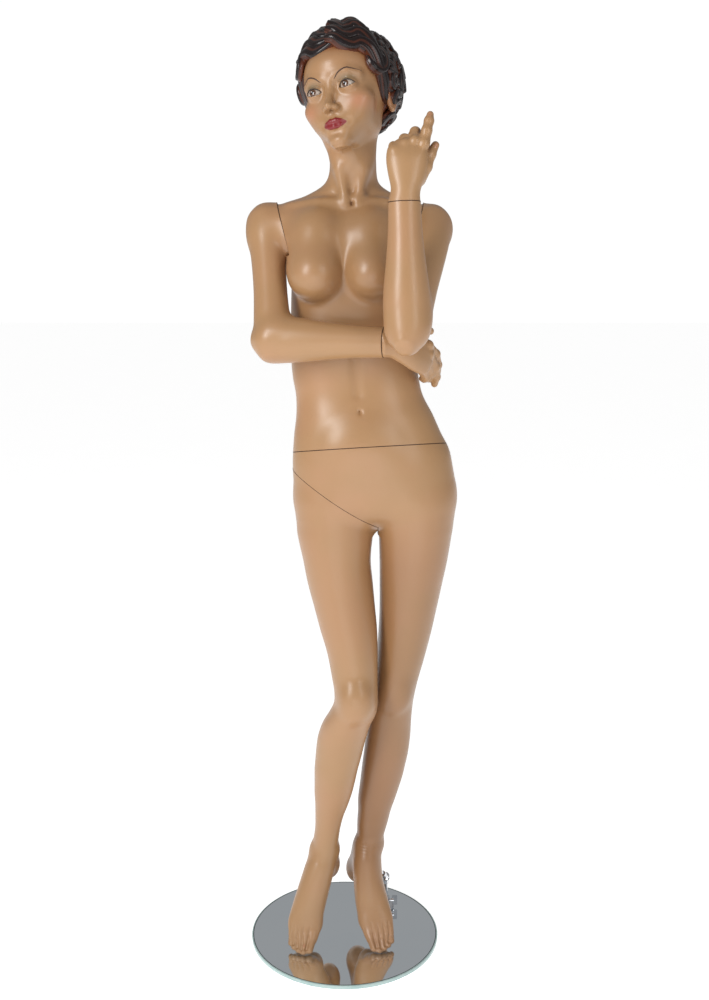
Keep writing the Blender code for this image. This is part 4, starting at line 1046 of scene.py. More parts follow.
def build_lower_body():
    """Hips and standing leg: open at the waist and at the hip seam."""
    clay = trunk_clay((-0.125, -0.130, 0.235), (0.235, 0.150, 1.100), HIP_CELL)
    other = copy_clay(clay)
    leg_column(clay, STANDING_LEG, STANDING_KNEE, FEET["standing"]["ankle"])
    other.add(column(BENT_LEG[:5]), 0.022)
    clay.values = np.minimum(clay.values, other.values)
    clay.trim(half((0, 0, SHIN_CUT - 0.007), (0, 0, -1)))
    foot = foot_clay("standing", STANDING_LEG, STANDING_KNEE)
    mesh = bridge(to_mesh(*foot.skin()), to_mesh(*clay.skin()), SHIN_CUT)
    hollow = inner(clay, LIMB_WALL)
    mesh = cut(mesh, half_box(WAIST_POINT - WAIST_NORMAL * SEAM_GAP / 2, WAIST_NORMAL),
               leg_space(-SEAM_GAP / 2),
               rim_cavity(hollow, WAIST_POINT, WAIST_NORMAL, -0.028, 0.01),
               rim_cavity(hollow, HIP_POINT, HIP_NORMAL, -0.01, 0.016))
    points = points_of(mesh)
    # Painted shade down the standing leg, most of it on the inside.
    x, height = points[:, 0], points[:, 2]
    leg_middle = np.interp(height, (0.2, 0.9), (0.075, 0.120))
    leg_shade = np.interp(height, (0.10, 0.22, 0.46, 0.80, 0.92), (0.15, 0.80, 0.62, 0.46, 0.0))
    store_values(mesh, "painted_brown_shade", leg_shade * np.interp(x - leg_middle, (-0.05, 0.06), (1.0, 0.45)))
    finish_shell("lower_body_skin", mesh, [(clay, everywhere), (foot, lambda p: p[:, 2] < SHIN_CUT)], SKIN,
                 "lower_body", ("lower_body_shell",), [(WAIST_POINT, WAIST_NORMAL), (HIP_POINT, HIP_NORMAL)])
    toe_nails("standing", foot, "lower_body")


def build_bent_leg():
    """The bent leg, which comes off at the hip seam."""
    clay = trunk_clay((-0.125, -0.140, 0.235), (0.110, 0.135, 1.020), HIP_CELL)
    leg_column(clay, BENT_LEG, BENT_KNEE, FEET["bent"]["ankle"])
    clay.trim(half((0, 0, SHIN_CUT - 0.007), (0, 0, -1)))
    foot = foot_clay("bent", BENT_LEG, BENT_KNEE)
    mesh = bridge(to_mesh(*foot.skin()), to_mesh(*clay.skin()), SHIN_CUT)
    mesh = cut(mesh, half_box(HIP_POINT - HIP_NORMAL * SEAM_GAP / 2, HIP_NORMAL),
               box((1, 1, 1), Matrix.Translation((HIP_SPLIT_X - SEAM_GAP / 2 + 0.5, 0, 0.80 + 0.5))),
               rim_cavity(inner(clay, LIMB_WALL), HIP_POINT, HIP_NORMAL, -0.016, 0.01))
    finish_shell("right_leg_skin", mesh, [(clay, everywhere), (foot, lambda p: p[:, 2] < SHIN_CUT)], SKIN,
                 "right_leg", ("right_leg_shell",), [(HIP_POINT, HIP_NORMAL)])
    toe_nails("bent", foot, "right_leg")


def toe_nails(which, clay, body):
    """A painted nail on each toe."""
    tips = []
    for toe, sizes in zip(FEET[which]["toes"], TOE_SIZES):
        joint, end = np.array(toe[1:])
        along, tip = end - joint, sizes[1]
        middle = joint + along * 0.80 + np.array([0, -0.002, tip])
        tips.append((middle, (0, -0.45, 0.9), along, tip * 0.62, tip * 0.60))
    nails("%s_toe_nails" % ("right" if which == "bent" else "left"), clay, tips, 0.009, body)


# ---------------------------------------------------------------- figure: arms and hands

DELTOID = {"right": ((-0.131, 0.028, 1.406), (0.0425, 0.040, 0.044)),
           "left": ((0.153, 0.020, 1.406), (0.0425, 0.040, 0.044))}


def shoulder_frame(side):
    """Directions up the shoulder's seam plane and out to the arm."""
    way = -1.0 if side == "right" else 1.0
    up = Vector((way * math.sin(SHOULDER_TILT), 0.0, math.cos(SHOULDER_TILT)))
    out = Vector((way * math.cos(SHOULDER_TILT), 0.0, -math.sin(SHOULDER_TILT)))
    return up, out


def shoulder_box(side, low, high, start, end, width=0.4):
    """A box beside a shoulder's seam plane: heights in the plane, then distances out from it."""
    up, out = shoulder_frame(side)
    across = up.cross(out)
    centre = SHOULDER_POINTS[side] + up * (low + high) / 2 + out * (start + end) / 2
    frame_matrix = Matrix(((across.x, up.x, out.x, centre.x), (across.y, up.y, out.y, centre.y),
                           (across.z, up.z, out.z, centre.z), (0, 0, 0, 1)))
    return box((width, high - low, end - start), frame_matrix)


def add_shoulder(clay, side, reach):
    rows = [row for row in UPPER_ARM[side] if row[0] <= reach]
    clay.add(limb(SHOULDER_CENTRE[side], ELBOW_CENTRE[side], rows, (1, 0, 0)), 0.016)
    clay.add(egg(*DELTOID[side]), 0.018)


def build_torso():
    """Torso, neck and head: one piece, with a finer mesh for the head."""
    clay = trunk_clay((-0.190, -0.135, 0.975), (0.215, 0.150, 1.550), TORSO_CELL)
    for side in SIDES:
        up = shoulder_frame(side)[0]
        add_shoulder(clay, side, 0.15)
        arm = limb(SHOULDER_CENTRE[side], ELBOW_CENTRE[side], UPPER_ARM[side], (1, 0, 0), 0.0022)
        below = half(SHOULDER_POINTS[side] - up * 0.052, up)
        clay.carve((lambda x, y, z, a=arm[0], b=below: np.maximum(a(x, y, z), b(x, y, z)), arm[1], arm[2]),
                   0.004)
    clay.trim(half((0, 0, NECK_CUT + 0.012), (0, 0, 1)))
    head, head_mesh = build_head()
    mesh = bridge(to_mesh(*clay.skin()), head_mesh, NECK_CUT)
    hollow = inner(clay, TORSO_WALL)
    cutters = [half_box(WAIST_POINT + WAIST_NORMAL * SEAM_GAP / 2, -WAIST_NORMAL),
               rim_cavity(hollow, WAIST_POINT, WAIST_NORMAL, -0.01, 0.062)]
    for side in SIDES:
        cutters.append(shoulder_box(side, -0.062, 0.10, -SEAM_GAP / 2, 0.2))
        cutters.append(combine(to_mesh(*hollow), "INTERSECT", shoulder_box(side, -0.058, 0.10, -0.012, 0.01)))
    mesh = cut(mesh, *cutters)
    drop_specks(mesh)
    paint_head(mesh)
    build_eyes(head)
    build_hair()
    # Painted shade in the creases comes from both clays: the head's is finer, so its creases are too; the two
    # are blended at the neck, and the shade is weaker on the head.
    points, normals = points_of(mesh), normals_of(mesh)
    height = points[:, 2]
    share = np.clip((height - NECK_CUT) / 0.006, -1, 1) * 0.5 + 0.5
    fine = crease_values(head, to_head(points), normals @ TURN, (0.003, 0.007, 0.014))
    fold_shading = share * fine + (1 - share) * crease_values(clay, points, normals)
    store_values(mesh, "fold_shade", fold_shading * np.interp(height, (1.50, 1.56), (1.0, 0.6)))
    # Painted shade: darker bands over the chest and over the face and head, by height.
    store_values(mesh, "painted_brown_shade", np.interp(height, (1.20, 1.30, 1.42, 1.47, 1.54, 1.60),
                                               (0.0, 0.13, 0.13, 0.02, 0.04, 0.17)))
    add_piece("torso_skin", mesh, HEAD_SKIN, "upper_body", ("torso_shell",))
    lines = [(WAIST_POINT, WAIST_NORMAL)]
    lines += [(SHOULDER_POINTS[side], shoulder_frame(side)[1]) for side in SIDES]
    for i, (point, normal) in enumerate(lines):
        seam_lines("torso_skin_seam_%d" % (i + 1), mesh, point, normal, "upper_body", SEAM_DARK)


def build_arm(side):
    """An arm bent at the elbow, open at the shoulder and wrist seams."""
    ends = np.array([ELBOW_CENTRE[side], WRIST_CENTRE[side], SHOULDER_CENTRE[side]])
    elbow, wrist, shoulder = ends
    clay = Clay(ends.min(0) - 0.056, ends.max(0) + 0.056, ARM_CELL)
    out = shoulder_frame(side)[1]
    clay.add(limb(shoulder, elbow, UPPER_ARM[side], (1, 0, 0)))
    clay.add(egg(*DELTOID[side]), 0.018)
    clay.add(column([row for row in TRUNK if 1.36 < row[0] < 1.475]), 0.022)
    clay.add(shoulder_ridge(-1 if side == "right" else 1), 0.024)
    clay.trim(half(SHOULDER_POINTS[side] - out * 0.012, -out))
    clay.add(limb(elbow, wrist, FOREARM[side], FOREARM_REFERENCE[side]), 0.022)
    back = unit(elbow - (shoulder + wrist) / 2)
    clay.add(egg(elbow + back * 0.016, (0.019, 0.019, 0.019)), 0.030)
    clay.smooth(4)
    axis = Vector(wrist - elbow).normalized()
    hollow = inner(clay, LIMB_WALL)
    mesh = cut(to_mesh(*clay.skin()), shoulder_box(side, -0.095, 0.12, -0.1, SEAM_GAP / 2, 0.2),
               box((0.12, 0.12, 0.06), facing(Vector(wrist) + axis * (0.03 - SEAM_GAP / 2), axis)),
               combine(to_mesh(*hollow), "INTERSECT", shoulder_box(side, -0.058, 0.10, -0.01, 0.012)),
               combine(to_mesh(*hollow), "INTERSECT", box((0.12, 0.12, 0.024), facing(Vector(wrist), axis))))
    finish_shell(side + "_arm_skin", mesh, [(clay, everywhere)], SKIN, side + "_arm", (side + "_arm_shell",),
                 [(SHOULDER_POINTS[side], out), (wrist, axis)])


NAIL_OUT = {"right": [(0.9, 0.3, 0.3), (0.9, 0.3, 0.1), (0.6, 0.6, -0.2), (0.5, 0.6, -0.3), (0.2, -0.2, 0.9)],
            "left": [(-0.1, -0.95, 0.2), (0.1, 0.35, 0.9), (0.0, 0.35, 0.9), (0.0, 0.35, 0.9),
                     (0.3, -0.9, 0.2)]}


def build_hand(side):
    """A hand with its fingers, knuckles and nails, and the hole for its wrist peg."""
    wrist = Vector(WRIST_CENTRE[side])
    axis = (wrist - Vector(ELBOW_CENTRE[side])).normalized()
    reference = (0.0, 0.3, 1.0) if side == "right" else (1.0, 0.0, 0.0)
    spots = np.array([p[:3] for finger in FINGERS[side] for p in finger] + [p[:3] for p in PALM[side]])
    clay = Clay(spots.min(0) - 0.040, spots.max(0) + 0.040, HAND_CELL)
    clay.add(bent_limb(PALM[side], reference))
    for finger in FINGERS[side]:
        clay.add(bones(finger, 0.002), 0.0045)
        for joint in finger[1:3]:
            clay.add(egg(joint[:3], (joint[3] * 0.99,) * 3), 0.004)
    knuckle_out = {"right": np.array([0.55, -0.75, 0.35]), "left": np.array([0.0, -1.0, 0.15])}[side]
    for finger in FINGERS[side][:4]:
        a = np.array(finger[0][:3])
        clay.add(egg(a + unit(knuckle_out) * 0.0035, (0.0080, 0.0080, 0.0080)), 0.006)
        tail = np.array(PALM[side][2][:3]) * 0.5 + a * 0.5
        clay.add(bones([(*(a + unit(knuckle_out) * 0.0060), 0.0020),
                        (*(tail + unit(knuckle_out) * 0.0095), 0.0012)]), 0.010)
    clay.smooth(2)
    mesh = cut(to_mesh(*clay.skin()), half_box(wrist + axis * SEAM_GAP / 2, -axis, 0.3),
               rod(wrist - axis * 0.02, axis, PEG_RADIUS + SEAM_GAP, 0.02 + 0.0155))
    finish_shell(side + "_hand_skin", mesh, [(clay, everywhere)], SKIN, side + "_hand", (side + "_hand",),
                 [(wrist, axis)])
    tips = []
    for finger, outward in zip(FINGERS[side], NAIL_OUT[side]):
        a, b = np.array(finger[-2]), np.array(finger[-1])
        along = unit(b[:3] - a[:3])
        outward = unit(np.array(outward) - along * float(np.array(outward) @ along))
        tips.append((b[:3] + outward * b[3] - along * 0.0015, outward, along, b[3] * 0.66, b[3] * 0.85))
    nails(side + "_finger_nails", clay, tips, 0.0034, side + "_hand")


# ---------------------------------------------------------------- head

HEAD_CENTRE = Vector((0.0115, 0.0140, 1.6415))
HEAD_TURN = (Matrix.Rotation(math.radians(-25.0), 3, "Z") @ Matrix.Rotation(math.radians(-6.0), 3, "X")
             @ Matrix.Rotation(math.radians(-12.0), 3, "Y"))
HEAD_MATRIX = Matrix.Translation(HEAD_CENTRE) @ HEAD_TURN.to_4x4()
TURN = np.array(HEAD_TURN)
FACE = [
    (-0.0965, 0, -0.0600, 0.0125, 0.0150, 0.0200, 2.0), (-0.0915, 0, -0.0560, 0.0195, 0.0225, 0.0350, 2.0),
    (-0.0820, 0, -0.0500, 0.0265, 0.0310, 0.0500, 2.0), (-0.0680, 0, -0.0400, 0.0340, 0.0425, 0.0600, 2.0),
    (-0.0480, 0, -0.0300, 0.0440, 0.0520, 0.0700, 2.0), (-0.0250, 0, -0.0200, 0.0555, 0.0620, 0.0800, 2.1),
    (0.0000, 0, -0.0100, 0.0630, 0.0720, 0.0850, 2.2), (0.0250, 0, 0.0000, 0.0670, 0.0840, 0.0850, 2.2),
    (0.0500, 0, 0.0040, 0.0660, 0.0840, 0.0850, 2.2), (0.0700, 0, 0.0100, 0.0570, 0.0760, 0.0780, 2.1),
]
EYE = (0.0315, -0.0715, 0.0000)
EYE_RADIUS = 0.0136
MOUTH_Z = -0.0600
EYE_OPENING = (0.0150, 0.0072, 0.0050)    # half width, height above and below the eye's middle
LID_TILT = math.radians(4.0)


def to_head(points):
    """World points in the head's own frame: face to -Y, eyes at z = 0."""
    return (points - np.array(HEAD_CENTRE)) @ TURN


def from_head(points):
    return points @ TURN.T + np.array(HEAD_CENTRE)


def world_shape(shape, low, high):
    """A shape given in the world, for use in the head's frame."""
    def distance(x, y, z):
        places = [TURN[i][0] * x + TURN[i][1] * y + TURN[i][2] * z + HEAD_CENTRE[i] for i in range(3)]
        return shape[0](*places)
    return distance, low, high


def almond(side, grow=0.0):
    """The opening between the eyelids."""
    cx, cz, wide, upper, lower = side * EYE[0], EYE[2], *EYE_OPENING
    top, bottom = (wide ** 2 + upper ** 2) / (2 * upper), (wide ** 2 + lower ** 2) / (2 * lower)
    tilt = LID_TILT * side

    def distance(x, y, z):
        u = (x - cx) * math.cos(tilt) + (z - cz) * math.sin(tilt)
        w = (z - cz) * math.cos(tilt) - (x - cx) * math.sin(tilt)
        above = np.sqrt(u * u + (w + top - upper) ** 2) - top
        below = np.sqrt(u * u + (w - bottom + lower) ** 2) - bottom
        return np.maximum(np.maximum(above, below) - grow, y + 0.0745)

    return distance, np.array([cx - 0.018, -0.110, cz - 0.010]), np.array([cx + 0.018, -0.074, cz + 0.012])


def across_mouth(*points):
    """Points from one corner of the mouth to its middle, and the same turned over to the other corner."""
    rows = [(x, y, MOUTH_Z + rise, radius) for x, y, rise, radius in points]
    return rows + [(-x, *rest) for x, *rest in rows[-2::-1]]


MOUTH_HALF = 0.0215
LIP_UPPER = across_mouth((-0.0190, -0.0765, 0.0008, 0.0020), (-0.0120, -0.0820, 0.0026, 0.0036),
                         (-0.0050, -0.0858, 0.0038, 0.0042), (0.0, -0.0862, 0.0030, 0.0040))
LIP_LOWER = across_mouth((-0.0180, -0.0765, -0.0014, 0.0020), (-0.0100, -0.0815, -0.0042, 0.0044),
                         (0.0, -0.0840, -0.0052, 0.0052))
LIP_LINE = across_mouth((-0.0220, -0.0800, -0.0002, 0.0005), (-0.0100, -0.0885, -0.0006, 0.0007),
                        (0.0, -0.0915, -0.0012, 0.0007))


def lip_edge_distance(x, z):
    """How far a point on the face, seen from the front, is outside the painted lips."""
    span = np.clip(1 - (x / MOUTH_HALF) ** 2, 0, 1)
    top = MOUTH_Z + 0.0082 * span ** 0.85 - 0.0018 * np.exp(-(x / 0.0028) ** 2)
    bottom = MOUTH_Z - 0.0098 * span ** 0.70
    return np.maximum(np.maximum(z - top, bottom - z), np.abs(x) - MOUTH_HALF)


def swept_tube(work, rows, frame_out, sides=12, squash=0.8, grooves=0, depth=0.0, values=None):
    """Add a tube along rows of x, y, z, radius; frame_out gives its outward direction at a point."""
    centres = [Vector(row[:3]) for row in rows]
    ends = [centres[0]] + centres + [centres[-1]]
    rings = []
    for i, (centre, row) in enumerate(zip(centres, rows)):
        tangent = (ends[i + 2] - ends[i]).normalized()
        outward = Vector(frame_out(centre))
        outward = (outward - tangent * outward.dot(tangent)).normalized()
        side = tangent.cross(outward)
        ring = []
        for k in range(sides):
            angle = 2 * math.pi * k / sides
            ridge = math.cos(grooves * angle + 0.12 * i) if grooves else 0.0
            radius = row[3] * (1.0 + depth * ridge)
            vert = work.verts.new(centre + side * (math.cos(angle) * radius)
                                  + outward * (math.sin(angle) * radius * squash))
            if values is not None:
                values.append((ridge, math.sin(angle)))
            ring.append(vert)
        rings.append(ring)
    for lower, upper in zip(rings, rings[1:]):
        for k in range(sides):
            n = (k + 1) % sides
            work.faces.new((lower[k], lower[n], upper[n], upper[k]))
    work.faces.new(rings[0][::-1])
    work.faces.new(rings[-1])


def head_piece(name, work, look, values=None):
    """A piece built in the head's frame, moved into place."""
    bmesh.ops.recalc_face_normals(work, faces=work.faces)
    mesh = from_bmesh(work)
    mesh.transform(HEAD_MATRIX)
    if values:
        for i, key in enumerate(("ridge", "outer")):
            store_values(mesh, key, [v[i] for v in values])
    add_piece(name, mesh, look, "upper_body", sharp=0)


def cap(work, centre, direction, sphere, radius, rings=6, sides=36):
    """A round patch on a sphere."""
    direction = Vector(direction).normalized()
    across = direction.orthogonal().normalized()
    other = direction.cross(across)
    top = work.verts.new(Vector(centre) + direction * sphere)
    last = None
    for i in range(1, rings + 1):
        tilt = math.asin(radius / sphere) * i / rings
        ring = [work.verts.new(Vector(centre) + (direction * math.cos(tilt)
                + (across * math.cos(a) + other * math.sin(a)) * math.sin(tilt)) * sphere)
                for a in (2 * math.pi * k / sides for k in range(sides))]
        for k in range(sides):
            n = (k + 1) % sides
            work.faces.new((top, ring[k], ring[n]) if last is None else (last[k], ring[k], ring[n], last[n]))
        last = ring


GAZE = (-0.03, -1.0, 0.07)
BROW = ((0.0125, -0.084, 0.0150, 0.00050), (0.0200, -0.083, 0.0215, 0.00110),
        (0.0310, -0.080, 0.0255, 0.00120), (0.0420, -0.073, 0.0235, 0.00090),
        (0.0500, -0.062, 0.0180, 0.00035))


def lid_arc(side, upper, lift):
    """Points along an eyelid's edge, a little in front of it."""
    wide, high, low = EYE_OPENING
    rise = high if upper else -low
    radius = (wide ** 2 + rise ** 2) / (2 * abs(rise))
    tilt = LID_TILT * side
    points = []
    for i in range(25):
        u = wide * (2 * i / 24 - 1)
        w = math.copysign(math.sqrt(max(radius ** 2 - u * u, 0)) - radius + abs(rise), rise)
        x = u * math.cos(tilt) - w * math.sin(tilt)
        z = u * math.sin(tilt) + w * math.cos(tilt)
        reach = math.sqrt(max(lift ** 2 - x * x - z * z, 0.0))
        points.append((side * EYE[0] + x, EYE[1] - reach, EYE[2] + z))
    return points


def build_eyes(clay):
    """Eyeballs with painted irises and pupils, a painted highlight on each eye, lash lines and brows."""
    white, iris, pupil, glint, lash, brow = (bmesh.new() for _ in range(6))
    outward = (0, -1, 0.2)
    for side in SIGNS:
        centre = Vector((side * EYE[0], EYE[1], EYE[2]))
        ball = bmesh.ops.create_uvsphere(white, u_segments=40, v_segments=24, radius=EYE_RADIUS)
        bmesh.ops.translate(white, verts=ball["verts"], vec=centre)
        cap(iris, centre, GAZE, EYE_RADIUS + 0.00012, 0.0062)
        cap(pupil, centre, GAZE, EYE_RADIUS + 0.00022, 0.0027)
        # A painted highlight on each eye, set off to one side of the gaze.
        spark = Vector(GAZE).normalized() + Vector((-0.12, 0, 0.16))
        cap(glint, centre, spark, EYE_RADIUS + 0.00030, 0.0009)
        arc = lid_arc(side, True, 0.0152)
        thick = [0.00035 + 0.00060 * math.sin(math.pi * i / (len(arc) - 1)) ** 0.7 for i in range(len(arc))]
        swept_tube(lash, [(*p, r) for p, r in zip(arc, thick)], lambda p: outward, 8, 1.0)
        arc = lid_arc(side, False, 0.0149)
        swept_tube(lash, [(*p, 0.00022) for p in arc[4:-1]], lambda p: outward, 6, 1.0)
        line = smooth_rows([(side * x, y, z, r) for x, y, z, r in BROW], 8)
        spots = clay.settle(line[:, :3], 6)
        swept_tube(brow, [(*p, r) for p, r in zip(spots, line[:, 3])], lambda p: outward, 8, 0.9)
    looks = (
        ("eye_whites", white, "eye_white", (0.50, 0.42, 0.35), (0.42, 0.33, 0.27), 0.16, 200, 0.01, 0.8),
        ("eye_irises", iris, "iris_brown", (0.135, 0.058, 0.026), (0.060, 0.024, 0.012), 0.14, 900, 0.05,
         0.8),
        ("eye_pupils", pupil, "pupil_black", (0.010, 0.008, 0.008), (0.018, 0.013, 0.012), 0.12, 300, 0.01,
         0.8),
        ("eye_painted_highlights", glint, "painted_highlight_white", (0.90, 0.88, 0.86), (0.80, 0.78, 0.76), 0.2, 300, 0.01, 0.0),
        ("eye_lashes", lash, "lash_paint", (0.022, 0.014, 0.012), (0.050, 0.026, 0.018), 0.45, 600, 0.03,
         0.0),
        ("eye_brows", brow, "brow_paint", (0.050, 0.024, 0.016), (0.090, 0.042, 0.024), 0.5, 900, 0.03, 0.0))
    for name, work, look, colour, darker, roughness, scale, bump, coat in looks:
        head_piece(name, work, plain_material(look, colour, darker, roughness, scale=scale, bump=bump,
                                              coat=coat))


# ---------------------------------------------------------------- hair

HAIR_CENTRE = np.array([0.0, 0.014, 0.030])
HAIR_RADII = np.array([0.0735, 0.0925, 0.0815])
# Rings of curls: elevation, first azimuth and step in degrees, size.
CURLS = ((42, 60, 18.0, 0.0165), (24, 50, 17.0, 0.0180), (5, 62, 17.0, 0.0175), (-13, 76, 17.0, 0.0165),
         (-30, 92, 19.0, 0.0150), (-45, 106, 22.0, 0.0130), (-58, 122, 28.0, 0.0110))
# Waves beside the hairline: way, first and last azimuth, rise.
SWEEPS = ((-1, 12.0, -100.0, 0.0130), (1, 4.0, 88.0, 0.0220))
SWEEP_ROWS = 6


def hair_front(x, y, z):
    """How far a point is in front of the hairline, which is set back at the temples."""
    return -0.80 * (y + 0.060) - 0.60 * (z - 0.052) + np.interp(abs(x), (0.018, 0.046), (0.0, 0.0105))


def scalp(azimuth, elevation, height):
    """A point over the scalp: azimuth 0 is the forehead and 90 the head's own left."""
    a, e = math.radians(azimuth), math.radians(elevation)
    way = np.array([math.sin(a) * math.cos(e), -math.cos(a) * math.cos(e), math.sin(e)])
    return HAIR_CENTRE + way * (HAIR_RADII + height)


def hairline(azimuth):
    """The elevation at which the hair starts."""
    high, low = 60.0, -60.0
    for _ in range(30):
        middle = (high + low) / 2
        p = scalp(azimuth, middle, 0.0)
        if hair_front(p[0], p[1], p[2]) > 0:
            low = middle
        else:
            high = middle
    return high


def hair_out(point):
    """The direction away from the scalp."""
    return (np.array(point) - HAIR_CENTRE) / HAIR_RADII ** 2


def build_hair():
    """Sculpted hair: finger waves in front, waves over the crown, curls behind, and a cap under them."""
    work, values = bmesh.new(), []

    def lock(points):
        """A grooved strand through azimuth, elevation, height and radius rows."""
        path = [(*scalp(a, e, h), r) for a, e, h, r in smooth_rows(points, 7)]
        swept_tube(work, path, hair_out, 24, 0.85, 5, 0.10, values)

    # Finger waves beside the hairline, swept away from the parting; their crests line up across the rows.
    for sweep, first, last, rise in SWEEPS:
        for row in range(SWEEP_ROWS):
            points = []
            for k in range(9):
                t = k / 8
                azimuth = first + (last - first) * t
                wave = math.sin(2 * math.pi * (1.9 * t + 0.05 * row) + (0.9 if sweep > 0 else 2.4))
                elevation = min(hairline(azimuth) + 6.0 + 11.0 * row + 6.5 * wave * (0.35 + 0.65 * t), 87.0)
                height = rise * (1.0 - 0.65 * t) * (0.55 + 0.45 * math.sin(0.5 + 0.5 * row)) + 0.0050 * wave
                thick = 0.0135 * min(1.0, 0.55 + 2.5 * t, 0.45 + 3.0 * (1 - t))
                points.append((azimuth, elevation, height, thick))
            lock(points)
    # Waves over the crown and down the back.
    for i in range(13):
        start = 90 + 15 * i
        points = []
        for k in range(8):
            t = k / 7
            wave = math.sin(2 * math.pi * 1.6 * t)
            points.append((start + 7.0 * wave, 86 - 48 * t, 0.010 - 0.005 * t + 0.0045 * wave,
                           0.0110 * min(1.0, 0.5 + 2 * t)))
        lock(points)

    def curl(azimuth, elevation, size, way, seed):
        """A strand rolled up into a flat spiral."""
        centre = scalp(azimuth, elevation, 0.007)
        outward = unit(hair_out(centre))
        across = unit(np.cross((0, 0, 1), outward))
        upward = np.cross(outward, across)
        rows = []
        lean = 0.7 * math.sin(seed * 1.7)
        for k in range(27):
            t = k / 26
            turn = way * 2 * math.pi * (1.12 + 0.15 * math.sin(seed)) * t + seed
            radius = size * (1.15 - 0.85 * t)
            flat = (across * math.cos(turn) * (1.0 + 0.25 * lean)
                    + upward * math.sin(turn) * (1.0 - 0.25 * lean))
            spot = centre + flat * radius + outward * (-0.0015 + 0.0105 * math.sin(math.pi * 0.5 * t))
            rows.append((*spot, size * (0.58 - 0.14 * t) * min(1.0, 0.30 + 5 * t, 0.5 + 6 * (1 - t))))
        swept_tube(work, rows, hair_out, 20, 0.80, 5, 0.13, values)

    # Rings of curls from the crown to the nape; sines of the count vary their place, size and turn.
    count = 0
    for row, (elevation, first, step, size) in enumerate(CURLS):
        azimuth = first + (row % 2) * 6
        while azimuth < 362 - first:
            count += 1
            curl(azimuth + 3.0 * math.sin(count * 4.1), elevation + 4.5 * math.sin(count * 2.7),
                 size * (1.0 + 0.16 * math.sin(count * 1.9)), 1 if math.sin(count * 5.3) > 0 else -1,
                 count * 1.3)
            azimuth += step
    head_piece("hair_locks", work, hair_material("painted_hair"), values)

    clay = Clay((-0.090, -0.100, -0.060), (0.090, 0.120, 0.125), HAIR_CELL)
    clay.add(egg(HAIR_CENTRE, HAIR_RADII + 0.0050))
    clay.carve(egg(HAIR_CENTRE + np.array([0, -0.002, -0.002]), HAIR_RADII - 0.006))
    clay.trim(lambda x, y, z: hair_front(x, y, z) + 0.001)
    clay.trim(lambda x, y, z: -0.050 - z + 0 * x + 0 * y)
    points, faces = clay.skin()
    mesh = to_mesh(from_head(points), faces)
    store_values(mesh, "ridge", np.zeros(len(points)))
    store_values(mesh, "outer", np.full(len(points), -0.6))
    add_piece("hair_cap", mesh, hair_material("painted_hair_cap"), "upper_body", sharp=0)


def hair_material(name):
    """Dark brown sculpted hair: red-brown in the hollows, a painted blue-grey highlight on the ridges."""
    s = Shader(name)
    streak = s.noise(260.0, 4.0, 0.6)
    top = s.range(s.value("outer"), -0.35, 0.65)
    dark = s.mix(streak, (0.005, 0.0035, 0.004), (0.016, 0.007, 0.006))
    colour = s.mix(top, (0.130, 0.036, 0.017), dark)
    # Painted highlight: blue-grey on the tops of the ridges, in patches.
    ridge = s.math("MULTIPLY", s.range(s.value("ridge"), 0.30, 1.0), s.range(s.noise(55.0, 2.0), 0.50, 0.70))
    colour = s.mix(s.math("MULTIPLY", s.math("MULTIPLY", ridge, top), 0.22), colour, (0.040, 0.042, 0.062))
    valley = s.range(s.value("ridge"), -0.3, -1.0)
    colour = s.mix(s.math("MULTIPLY", valley, 0.60), colour, (0.105, 0.028, 0.014))
    s.set(Base_Color=colour, Roughness=s.range(streak, 0.3, 0.7, 0.20, 0.34))
    s.set(Specular_IOR_Level=0.24, Coat_Weight=0.26, Coat_Roughness=0.10)
    s.bump(s.noise(700.0, 3.0), 0.12, 0.0006)
    return s.item


